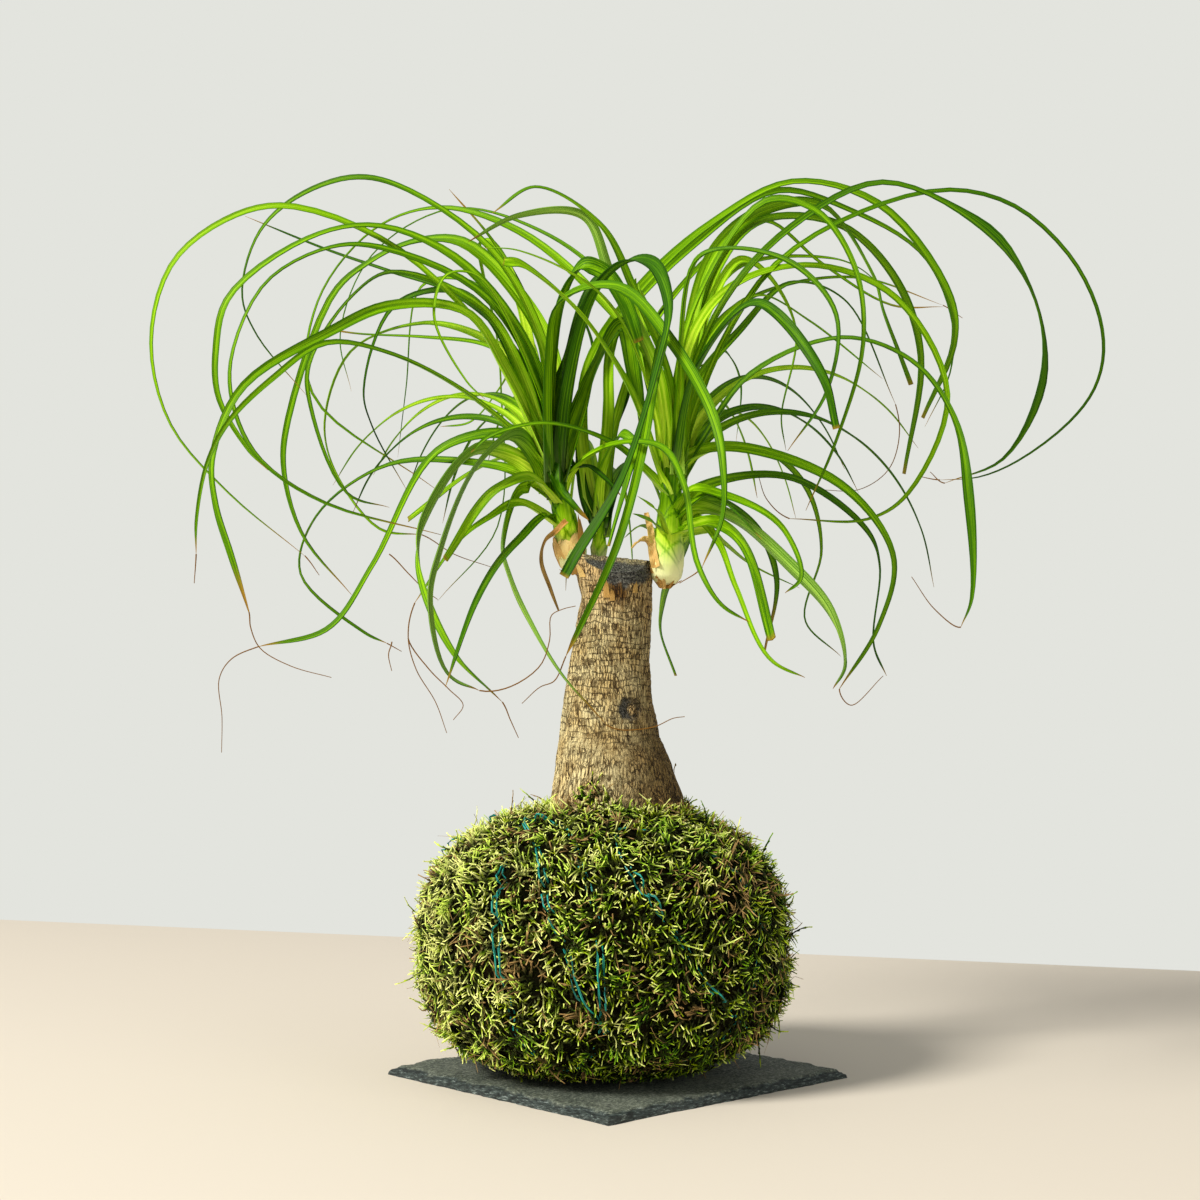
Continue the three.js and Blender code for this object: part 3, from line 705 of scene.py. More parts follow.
def slate_material(mottle):
    """Slate: how broken a place is, and how high up the edge it lies, are painted on it."""
    material, tree, shader, place = new_material("split_slate")
    broken, layer, _, _ = painted(tree, "slate_state")
    spots = weathered(tree, mottle, place, 30.0, 620.0)
    flakes = speckle(tree, stretched(tree, place, (0.7, 0.7, 4.0)), 300.0, 7.0, 0.75)
    top = mixed(tree, ranged(tree, spots["Patch"], 0.35, 0.65), (82, 90, 76), (108, 114, 98))
    top = mixed(tree, ranged(tree, spots["Grain"], 0.5, 0.66, 0.0, 0.85), top, (164, 170, 150))
    top = mixed(tree, ranged(tree, spots["Grain"], 0.34, 0.48, 0.85, 0.0), top, (26, 32, 26))
    edge = mixed(tree, ranged(tree, flakes, 0.42, 0.56), (14, 20, 17), (74, 86, 80))
    # Painted highlight: thin pale streaks along the broken edge, where its split layers catch the light.
    edge = mixed(tree, ranged(tree, flakes, 0.56, 0.64), edge, (178, 190, 182))
    edge = mixed(tree, times(tree, layer, 0.25), edge, (44, 54, 50))
    colour = mixed(tree, broken, top, edge)
    height = mixed(tree, broken, spots["Grain"], flakes)
    surface(tree, shader, colour, ranged(tree, flakes, 0.3, 0.7, 0.55, 0.8), (height, 1.0, 0.0016))
    return material


def soil_material(mottle):
    """The dark soil inside the moss."""
    material, tree, shader, place = new_material("dark_soil")
    spots = weathered(tree, mottle, place, 60.0, 500.0)
    colour = mixed(tree, spots["Grain"], (34, 24, 16), (82, 60, 42))
    roughness = ranged(tree, spots["Patch"], 0.3, 0.7, 0.85, 1.0)
    surface(tree, shader, colour, roughness, (spots["Grain"], 1.0, 0.003))
    return material


# Slate tile

def slate_steps(angle, from_edge):
    """The height of the tile's top at a distance in from its edge, where thin layers broke off."""
    height = 0
    for index, (thick, least, spread) in enumerate(SLATE_LAYERS):
        round_edge = (math.cos(angle) * 100, math.sin(angle) * 100, 40 * index)
        bite = wander(round_edge, 17, index) + 0.5 * wander(round_edge, 5, index + 9)
        edge = max(0, least + spread * bite)
        height += thick * smooth_step(edge - 0.1, edge + 0.7, from_edge)
    return height


def slate_outline(angle):
    """How far the tile reaches at an angle: a square whose edge was chipped off in bites."""
    square = SLATE_SIDE / 2 / max(abs(math.cos(angle)), abs(math.sin(angle)))
    at = (math.cos(angle) * 100, math.sin(angle) * 100, 0)
    return square - 1.6 + 1.1 * wander(at, 14, 3) + 0.8 * wander(at, 4, 4)


def slate_spot(x, y):
    """Where a point of the disc comes on the tile: its angle, the tile's reach at that angle, its
    own reach, and how far in from the edge it lies."""
    angle = math.atan2(y, x)
    outline = slate_outline(angle)
    reach = outline * (1 - (1 - min(math.hypot(x, y), 1)) ** EDGE_CROWDING)
    from_edge = (outline - reach) * max(abs(math.cos(angle)), abs(math.sin(angle)))
    return angle, outline, reach, from_edge


def slate_place(x, y, z):
    """Where a point of the column comes on the tile: its top cleft in layers, its wall chipped."""
    angle, outline, reach, from_edge = slate_spot(x, y)
    if z > NEARLY_ONE:
        height = slate_steps(angle, from_edge)
        at = (reach * math.cos(angle), reach * math.sin(angle), 0)
        height += 0.16 * wander(at, 9, 1) + 0.1 * wander(at, 2.5, 2)
        height = min(height, SLATE_THICK + 0.1) if from_edge > 0 else slate_steps(angle, 0)
    else:
        at = (outline * math.cos(angle), outline * math.sin(angle), z * 9)
        chipped = outline + (0.9 * wander(at, 3.2, 5) - 0.5) * math.sin(math.pi * z)
        reach = math.hypot(x, y) * chipped
        height = z * slate_steps(angle, 0)
    turned = angle + SLATE_TURN
    return reach * math.cos(turned), reach * math.sin(turned), height


def slate_tile(material):
    """The slate tile, painted with how broken its top is at each point."""
    tile = add_column("slate_tile_stone", *SLATE_MESH)
    states = []
    for vertex in tile.data.vertices:
        x, y, z = vertex.co
        angle, _, _, from_edge = slate_spot(x, y)
        height = slate_steps(angle, from_edge) if z > NEARLY_ONE else 0
        broken = 1 - smooth_step(SLATE_THICK - 1.0, SLATE_THICK - 0.15, height)
        states.append((broken, z, 0, 1))
    reshape(tile, slate_place)
    face_out(tile)
    paint(tile, "slate_state", states)
    dress(tile, material, "slate_tile", 38)


# Trunk

def trunk_edges(z):
    """The trunk's left and right edges at a height."""
    z = min(max(z, TRUNK_FOOT), TRUNK_TOP)
    after = max(next(i for i, edge in enumerate(TRUNK_EDGES) if edge[0] >= z), 1)
    high, low = TRUNK_EDGES[after], TRUNK_EDGES[after - 1]
    share = (z - low[0]) / (high[0] - low[0])
    eased = share * share * (3 - 2 * share) * 0.4 + share * 0.6
    return between(low[1], high[1], eased), between(low[2], high[2], eased)


def sawn_height(x, y):
    """The height of the trunk's top: sawn nearly level, then pared down on the front right."""
    level = SAWN_LEVEL + SAWN_FALL[0] * x + SAWN_FALL[1] * y
    pared = SAWN_LEVEL + (-0.12 * (x - 6) + 0.62 * (y + 7)) / 0.78
    return min(level, pared)


def trunk_skin(angle, z):
    """The place of the trunk's skin at an angle and a height."""
    left, right = trunk_edges(z)
    half = (right - left) / 2
    return (left + right) / 2 + half * math.cos(angle), half * TRUNK_DEPTH_SHARE * math.sin(angle)


def trunk_rim(angle):
    """The height at which the skin meets the sawn top, closed in on by steps."""
    z = TRUNK_TOP
    for _ in range(4):
        z = sawn_height(*trunk_skin(angle, z))
    return z


def bark_crack(x, y, z):
    """How deep the bark is cracked at a point of the trunk, from 0 to 1: upright cracks that are
    broken into rows of small plates by the rings of old leaf scars, more so up the trunk."""
    bend = 2.0 * wander((x, y, z), 12, 2)
    rise = z / LEAF_SCAR_ROW + 0.8 * wander((x, y, z * 0.4), 16, 11)
    row = math.floor(rise)
    in_row = rise - row
    upper = float(smooth_step(205, 250, z))
    plates = wander((x, y, row * 9.0), 2.3, 3)
    upright = wander((x + bend, y + bend, z * 0.17), 2.3, 4)
    fine = wander((x, y, z * 0.4), 1.3, 5)
    crack = max(0, 1 - abs(upright) / 0.15) * (1 - 0.6 * upper)
    plate_gap = max(0, 1 - abs(plates) / 0.17) * (0.25 + 0.75 * upper)
    ring = max(0, 1 - min(in_row, 1 - in_row) / 0.17) * (0.12 + 0.5 * upper)
    ring *= 0.5 + 0.9 * abs(wander((x, y, z), 6, 12))
    hair = max(0, 1 - abs(fine) / 0.15) * 0.6
    strength = 0.65 + 0.35 * smooth_step(-0.2, 0.4, wander((x, y, z), 24, 6))
    return float(min(1, max(crack, plate_gap, hair, ring) * strength))


def wound_share(x, y, z):
    """1 on the dark rough wood of the old cut, on the front right of the top, and 0 on bark."""
    if y > -2:
        return 0.0
    lower = 297 + 3.5 * wander((x, y, z), 5, 8) + 0.022 * (x - 6) ** 2
    sides = smooth_step(-12, -8, x + 2 * wander((x, y, z), 4, 13)) * smooth_step(24, 19, x)
    return float(smooth_step(lower - 0.9, lower + 0.9, z) * sides)


def knot_share(x, y, z):
    """1 in the middle of the old branch scar on the front, and 0 outside it."""
    if y > 0:
        return 0
    away = math.hypot((x - KNOT[0]) / KNOT_SIZE[0], (z - KNOT[1]) / KNOT_SIZE[1])
    return float(1 - smooth_step(0.55, 1.15, away + 0.3 * wander((x, y, z), 4, 7)))


def knot_eye(x, z):
    """1 on the pale eye of the branch scar, and 0 round it."""
    away = math.hypot((x - KNOT_EYE[0]) / KNOT_EYE_SIZE[0], (z - KNOT_EYE[1]) / KNOT_EYE_SIZE[1])
    return float(smooth_step(1.25, 0.65, away))


def bark_relief(spot, crack, knot, eye, cut):
    """How far the bark stands out: it sinks in its cracks, in the pitted cut and inside the scar,
    which has a raised lip."""
    x, y, z = spot
    pits = cut * (1.2 + 1.8 * abs(wander(spot, 3, 14)) + 0.9 * wander(spot, 1.5, 15))
    lip = smooth_step(0.02, 0.3, knot) * smooth_step(0.9, 0.4, knot)
    swells = 0.9 * wander((x, y, z * 0.5), 7, 1) - 1.0 * crack * (1 - cut) + 0.35 - pits
    return swells + (0.9 * lip - 1.9 * knot * (1 - 0.7 * eye))


def bark_look(spot, crack, knot, eye, cut):
    """Crack depth, dark wood, warmth and shade of the bark. Painted shade darkens it to the right, more low
    down.
    It is darker on a burnt stripe at the top of its front and round the scar, and warmer up the trunk and
    in the eye."""
    x, y, z = spot
    burnt = smooth_step(283, 292, z) * smooth_step(8, 3, abs(x - 1)) * (y < 0) * 0.85
    scar = smooth_step(0.25, 0.7, knot) * (1 - eye)
    dark = max(cut, float(scar * (0.35 + 0.6 * smooth_step(5, -4, x - KNOT[0]))))
    # Painted shade: the bark darkens towards its right side, away from the lamp.
    right = smooth_step(-18, 26, x) * (0.55 + 0.45 * smooth_step(270, 190, z)) * 0.9
    shade = min(1, float(right * (1 - 0.6 * eye) + burnt + 0.35 * knot * (1 - eye)))
    warm = max(smooth_step(262, 305, z), eye)
    return crack * (1 - 0.7 * eye), float(dark), float(warm), shade


def bark_spot(angle, z):
    """A point of the bark, and the values painted on it."""
    x, y = trunk_skin(angle, z)
    spot = (x, y, z)
    knot = knot_share(x, y, z)
    features = bark_crack(x, y, z), knot, knot_eye(x, z) * knot, wound_share(x, y, z)
    grown = 1 + bark_relief(spot, *features) / math.hypot(x, y)
    middle = sum(trunk_edges(z)) / 2
    return ((x - middle) * grown + middle, y * grown, z), bark_look(spot, *features)


def wood_spot(angle, spread, upper):
    """A point of the sawn top, or else of the flat foot in the soil, and the values painted on it."""
    rim = trunk_rim(angle)
    rim_x, rim_y = trunk_skin(angle, rim)
    middle = sum(trunk_edges(rim)) / 2
    x, y = middle + (rim_x - middle) * spread, rim_y * spread
    z = sawn_height(x, y) if upper else TRUNK_FOOT
    rough = 0.8 * wander((x, y, z), 3.2, 9) + 0.5 * wander((x, y, z), 1.4, 10)
    level = smooth_step(1.5, -2.5, SAWN_LEVEL + SAWN_FALL[0] * x - z - 3)
    return (x, y, z + rough * smooth_step(1.0, 0.85, spread)), (0.2, float(max(0.5, 1 - level)), 0, 0)


def trunk(material):
    """The trunk, from its foot in the soil to its sawn top."""
    piece = add_column("trunk_wood", *TRUNK_MESH)
    states = []

    def place(x, y, level):
        angle = math.atan2(y, x)
        spread = math.hypot(x, y)
        if spread > NEARLY_ONE:
            point, state = bark_spot(angle, between(TRUNK_FOOT, trunk_rim(angle), level))
        else:
            point, state = wood_spot(angle, spread, level > 0.5)
        states.append(state)
        return point

    reshape(piece, place)
    face_out(piece)
    paint(piece, "bark_state", states)
    dress(piece, material, "trunk", 75)


# Moss ball

def hollow(angle, slope):
    """How deep the hollows between the moss's tufts are, from 0 to 1."""
    rows = math.sin(19 * angle + 5 * math.sin(9 * slope))
    columns = math.cos(23 * slope + 3 * angle)
    return 0.5 + 0.5 * rows * columns


def ball_point(angle, slope, grow, relief):
    """A point on the ball's skin, at an angle round it and a slope up or down it from its middle.
    Grow moves the skin outwards, and relief is the depth of the hollows between its tufts."""
    up = slope >= 0
    power = 2 / (BALL_UPPER_POWER if up else BALL_LOWER_POWER)
    rise = math.sin(abs(slope)) ** power
    spread = max(math.cos(slope), 0) ** power
    height = (BALL_RISE + grow) * (rise if up else -rise)
    radius = (BALL_RADIUS + grow - relief * hollow(angle, slope)) * spread
    foot = SLATE_THICK + GAP - min(grow, 0)
    x, y, z = BALL_CENTRE
    return np.array([x + radius * math.cos(angle), y + radius * math.sin(angle), max(z + height, foot)])


def moss_bed(material):
    """The lumpy bed under the sprigs, flat where it rests on the slate."""
    select_only()
    bpy.ops.mesh.primitive_uv_sphere_add(segments=BED_SEGMENTS, ring_count=BED_RINGS, radius=1)
    bed = bpy.context.object
    bed.name = "moss_bed"

    def place(x, y, z):
        slope = math.asin(max(-1, min(1, z)))
        point = ball_point(math.atan2(y, x), slope, BED_DEPTH, TUFT_RELIEF)
        lump = 1.3 * wander(point, 6, 1) + 0.8 * wander(point, 2.5, 2)
        middle = np.array(BALL_CENTRE)
        out = (point - middle) / np.linalg.norm(point - middle)
        point = point + out * lump
        point[2] = max(point[2], SLATE_THICK + GAP)
        return point

    reshape(bed, place)
    face_out(bed, weld=True)
    dress(bed, material, "moss_layer", 70)


def sprig_template(rings):
    """One moss sprig: a tapered three-sided stem with small pointed leaflets along it."""

    def is_leaflet(face):
        """Every second face of the stem bears a leaflet, so that they alternate up its length."""
        if abs(face.normal.z) > 0.9:
            return False
        middle = face.calc_center_median()
        turn = (math.atan2(middle.y, middle.x) + math.pi) / (2 * math.pi)
        side = round(turn * SPRIG_SIDES) % SPRIG_SIDES
        step = int(middle.z * rings)
        return (side + step) % 2 == 0

    sprig = add_column("sprig", SPRIG_SIDES, rings)
    bpy.ops.object.mode_set(mode="EDIT")
    pick(sprig, "FACE", is_leaflet)
    bpy.ops.mesh.poke(offset=LEAFLET_REACH)
    bpy.ops.mesh.select_all(action="SELECT")
    bpy.ops.mesh.quads_convert_to_tris()
    bpy.ops.object.mode_set(mode="OBJECT")
    for vertex in sprig.data.vertices:
        if math.hypot(vertex.co.x, vertex.co.y) > 1.1:
            vertex.co.z += LEAFLET_LEAN * SPRIG_RINGS / rings
        taper = 1 - 0.6 * min(vertex.co.z, 1) ** 2.2
        vertex.co.x *= taper
        vertex.co.y *= taper
    return Template(sprig)


def lay_sprigs(heap, template, roots, outs, aims, lengths, widths, lifts, curls, tones):
    """Lays one bent sprig on each root, aimed along the skin and lifted off it towards its tip."""
    first = unit(aims * np.cos(lifts)[:, None] + outs * np.sin(lifts)[:, None])
    last = unit(first + curls)
    middles = roots + first * lengths[:, None] * 0.5
    ends = middles + last * lengths[:, None] * 0.5
    level = template.points[:, 2][None, :, None]
    root, middle, end = roots[:, None, :], middles[:, None, :], ends[:, None, :]
    line = root * (1 - level) ** 2 + 2 * middle * level * (1 - level) + end * level ** 2
    along = unit(2 * (middle - root) * (1 - level) + 2 * (end - middle) * level)
    side = unit(np.cross(outs[:, None, :], along))
    over = np.cross(along, side)
    flat = template.points[None, :, :]
    half = widths[:, None, None] / 2
    points = line + side * flat[:, :, 0:1] * half + over * flat[:, :, 1:2] * half * 0.8
    points[:, :, 2] = np.maximum(points[:, :, 2], SLATE_THICK + 0.4)
    count = len(roots)
    shades = np.ones((count, len(template.points), 4))
    shades[:, :, 0] = tones[:, 0:1]
    shades[:, :, 1] = tones[:, 1:2]
    shades[:, :, 2] = template.points[None, :, 2]
    offsets = (np.arange(count) * len(template.points))[:, None, None]
    faces = (template.faces[None] + offsets).reshape(-1, 3)
    heap.gather(points.reshape(-1, 3), faces, np.zeros((0, 2)), shades.reshape(-1, 4))


def in_trunk(point):
    """Whether a point lies inside the trunk, by half a millimetre or more."""
    x, y, z = point
    left, right = trunk_edges(z)
    half = (right - left) / 2 - 0.5
    across = (x - (left + right) / 2) / half
    deep = y / (half * TRUNK_DEPTH_SHARE)
    return across * across + deep * deep < 1


def moss_roots(draw, count, together):
    """Roots in small clumps, spread evenly over the ball's skin by area, clear of trunk and slate.
    Answers with each root, the direction out of the skin there, and its clump's number."""
    slopes = np.radians(np.linspace(-89, 89, 357))
    rings = np.array([ball_point(0, slope, ROOT_DEPTH, 0) for slope in slopes])
    steps = np.linalg.norm(np.diff(rings, axis=0), axis=1)
    around = (rings[1:, 0] + rings[:-1, 0]) / 2 - BALL_CENTRE[0]
    areas = np.concatenate([[0], np.cumsum(steps * around)])
    tiny = 0.01
    roots, outs, clumps = [], [], []
    clump = 0
    while len(roots) < count:
        clump += 1
        share = (clump * EVEN_STEPS[0] + draw.uniform(-1, 1) * CLUMP_STRAY) % 1
        turn = (clump * EVEN_STEPS[1] + draw.uniform(-1, 1) * CLUMP_STRAY) % 1
        middle_slope = float(np.interp(share * areas[-1], areas, slopes))
        middle_angle = (2 * turn - 1) * math.pi
        ring = max(math.cos(middle_slope), 0.2) * BALL_RADIUS
        for _ in range(together):
            slope = middle_slope + draw.gauss(0, CLUMP_SPREAD) / BALL_RISE
            slope = max(-1.55, min(1.55, slope))
            angle = middle_angle + draw.gauss(0, CLUMP_SPREAD) / ring
            here = ball_point(angle, slope, ROOT_DEPTH, TUFT_RELIEF)
            if here[2] < SLATE_THICK + 2.5 or in_trunk(here):
                continue
            level = ball_point(angle, slope, 0, 0)
            beside = ball_point(angle + tiny, slope, 0, 0) - level
            above = ball_point(angle, slope + tiny, 0, 0) - level
            normal = np.cross(beside, above)
            roots.append(here)
            outs.append(normal / max(np.linalg.norm(normal), 1e-9))
            clumps.append(clump)
    return np.array(roots[:count]), np.array(outs[:count]), np.array(clumps[:count])


def moss_tones(roots, clumps, draw):
    """Tone and brownness of each sprig: painted light to the left, painted shade low down, browner patches.
    """
    shared = [draw.gauss(0, 0.15) for _ in range(clumps.max() + 1)]
    tones = []
    for root, clump in zip(roots, clumps):
        patch = wander(root, 26, 4) + 0.9 * wander(root, 6, 5)
        # Painted light: the tone is raised towards the lit left side, and lowered near the slate as painted
        # shade.
        painted_light_left = -0.42 * (root[0] - BALL_CENTRE[0]) / BALL_RADIUS
        low = -0.38 * smooth_step(85, 15, root[2])
        tone = 0.55 + painted_light_left + low + 0.3 * patch + shared[clump] + draw.gauss(0, 0.17)
        dead = wander(root, 21, 8) + 0.8 * wander(root, 7, 9) + draw.gauss(0, 0.16)
        brown = 1.0 if dead > 0.44 else max(0.0, dead - 0.3)
        tones.append((min(max(tone, 0), 1), brown))
    return np.array(tones)


def bark_roots(draw, count):
    """Roots of the moss that creeps up the trunk's foot, highest in a tuft at the front left."""
    roots, outs = [], []
    for _ in range(count):
        angle = draw.uniform(-math.pi, math.pi)
        tuft = math.exp(-(((math.degrees(angle) + 112) / 15) ** 2))
        z = 158 + draw.random() ** 1.4 * (5 + 19 * tuft)
        x, y = trunk_skin(angle, z)
        roots.append((x, y, z))
        outs.append((math.cos(angle), math.sin(angle), 0.25))
    return np.array(roots), unit(np.array(outs))


def in_clumps(chance, clumps, low, high, alone):
    """A draw for each sprig that its clump mostly shares; alone is the share that is its own."""
    shared = chance.uniform(0, 1, clumps.max() + 1)[clumps]
    own = chance.uniform(0, 1, len(clumps))
    return low + (high - low) * (shared * (1 - alone) + own * alone)


def moss_piece(name, material, template, grown, tones, chance, kind):
    """A piece of moss: one sprig on each root, with its own turn, length, width, lift and curl.
    Flow draws the sprigs down the skin where it is negative, and up it where it is positive."""
    roots, outs, clumps = grown
    count = len(roots)
    spin = in_clumps(chance, clumps, 0, 2 * math.pi, 0.15)
    east = unit(np.cross(np.array([0.0, 0.0, 1.0]), outs + np.array([1e-4, 0, 0])))
    north = np.cross(outs, east)
    aims = unit(east * np.cos(spin)[:, None] + north * (np.sin(spin) + kind["flow"])[:, None])
    bend = chance.normal(0, 0.95, (clumps.max() + 1, 3))[clumps] + chance.normal(0, 0.5, (count, 3))
    curls = bend - aims * 0.1 - outs * chance.uniform(-0.1, 0.9, count)[:, None]
    near_slate = smooth_step(34, 8, roots[:, 2])
    long = in_clumps(chance, clumps, *kind["lengths"], 0.5) * (1 - 0.4 * near_slate)
    raised = np.radians(in_clumps(chance, clumps, *kind["lifts"], 0.5)) * (1 - 0.7 * near_slate)
    wide = chance.uniform(*kind["widths"], count)
    heap = Heap()
    lay_sprigs(heap, template, roots, outs, aims, long, wide, raised, curls, tones)
    dress(heap.piece(name, "moss_state"), material, "moss_layer", 50)


def moss_sprigs(material):
    """All the moss: the sprigs of the ball in quarters, and those on the bark, strays and straws."""
    draw = random.Random(5)
    chance = np.random.default_rng(9)
    template = sprig_template(SPRIG_RINGS)
    roots, outs, clumps = moss_roots(draw, SPRIG_COUNT, CLUMP_SPRIGS)
    tones = moss_tones(roots, clumps, draw)
    order = np.argsort(np.arctan2(roots[:, 1], roots[:, 0]))
    for index, chosen in enumerate(np.array_split(order, SPRIG_PIECES)):
        name = f"moss_sprigs_{index + 1}"
        grown = (roots[chosen], outs[chosen], clumps[chosen])
        moss_piece(name, material, template, grown, tones[chosen], chance, SPRIGS)

    roots, outs = bark_roots(draw, BARK_SPRIG_COUNT)
    each = np.arange(len(roots))
    tones = moss_tones(roots, each, draw)
    moss_piece("moss_on_bark", material, template, (roots, outs, each), tones, chance, BARK_SPRIGS)

    long_template = sprig_template(STRAY_RINGS)
    roots, outs, clumps = moss_roots(draw, STRAY_COUNT, 1)
    tones = moss_tones(roots, clumps, draw)
    tones[:, 0] = np.minimum(1, tones[:, 0] + 0.15)
    grown = (roots + outs * 2, outs, clumps)
    moss_piece("moss_strays", material, long_template, grown, tones, chance, STRAYS)

    roots, outs, clumps = moss_roots(draw, STRAW_COUNT, 1)
    dead = np.tile([0.4, 1.0], (len(roots), 1))
    grown = (roots + outs * 2.6, outs, clumps)
    moss_piece("moss_straws", material, template, grown, dead, chance, STRAWS)


# Binding thread: degrees of turn from the front, positive to the right, and of slope on the ball

THREAD_ROUTE = [
    (-52, 58), (-36, 30), (-31, 4), (-27, -28), (-16, -52),
    (-2, -30), (-1, 2), (-6, 30), (-20, 58),
    (-46, 61), (-24, 40), (-14, 10), (2, -24), (20, -50),
    (44, -30), (56, 4), (50, 34), (30, 54),
    (8, 58), (9, 34), (24, 4), (52, -26), (78, -48),
    (104, -24), (112, 8), (100, 40), (84, 50),
    (108, 52), (128, 34), (140, 2), (150, -30), (168, -50),
    (188, -26), (192, 6), (184, 38), (170, 56),
    (192, 60), (212, 38), (222, 4), (230, -28), (246, -50),
    (264, -28), (270, 4), (266, 36), (254, 58),
]


# Where the thread comes up out of the moss on the front: x, z and how far round that place
THREAD_SHOWS = [
    (-42, 122, 22), (-66, 108, 24), (-62, 88, 18), (-10, 74, 20), (18, 123, 14), (-50, 163, 12),
    (60, 66, 9),
]


def thread_point(turn, slope, strand):
    """A point of the thread: it comes up over the moss in places and is sunk to the bed elsewhere."""
    angle, rise = math.radians(turn - 90), math.radians(slope)
    point = ball_point(angle, rise, 0, 0)
    shown = float(smooth_step(0.12, 0.3, wander(point, 16, 6))) if point[1] > 0 else 0
    for x, z, reach in THREAD_SHOWS:
        away = math.hypot(point[0] - x, point[2] - z) / reach
        shown = max(shown, float(smooth_step(1.2, 0.6, away)) * (point[1] < 0))
    shown *= float(smooth_step(-0.25, 0.05, wander(point, 11, 16 + strand)))
    sunk = ball_point(angle, rise, THREAD_SUNK, TUFT_RELIEF)
    proud = ball_point(angle, rise, THREAD_PROUD, 0)
    return between(sunk, proud, shown)


def binding_thread(material):
    """The thread's strands, each laid beside the course that the route gives."""
    template = Template(add_column("thread", THREAD_SIDES, THREAD_RINGS))
    course, _ = curve_points(THREAD_ROUTE, np.linspace(0, 1, THREAD_RINGS + 1))
    heap = Heap()
    for strand, aside in enumerate(STRANDS_ASIDE):
        line = np.array([thread_point(turn + aside, slope, strand) for turn, slope in course])
        along = unit(np.gradient(line, axis=0))
        points = tube(template, line, along, np.full(THREAD_RINGS + 1, THREAD_RADIUS))
        heap.add(points, template, np.ones((len(points), 4)))
    settle(heap.piece("thread_winding", "thread_state"), material, "binding_thread", 80)


# Leaves. A leaf is its width, how far it reaches towards the back (negative to the front), its
# roll at the root and at the tip (negative where its pale underside shows), and its path in the
# upright plane through the trunk. It may be cut blunt or end in a dry wisp. Dry is the share of it
# that has dried, slim how slender it is past its middle, and tone how light it is. A swell is a
# place along it that is broad again, by how many millimetres, and over what share of its length.

def leaf(wide, reach, rolls, path, cut=False, wisp=(), dry=0.06, slim=1.0, swell=(), tone=None):
    return {
        "wide": wide, "reach": reach, "rolls": rolls, "path": path, "cut": cut,
        "wisp": wisp, "dry": dry, "slim": slim, "swell": swell, "tone": tone,
    }


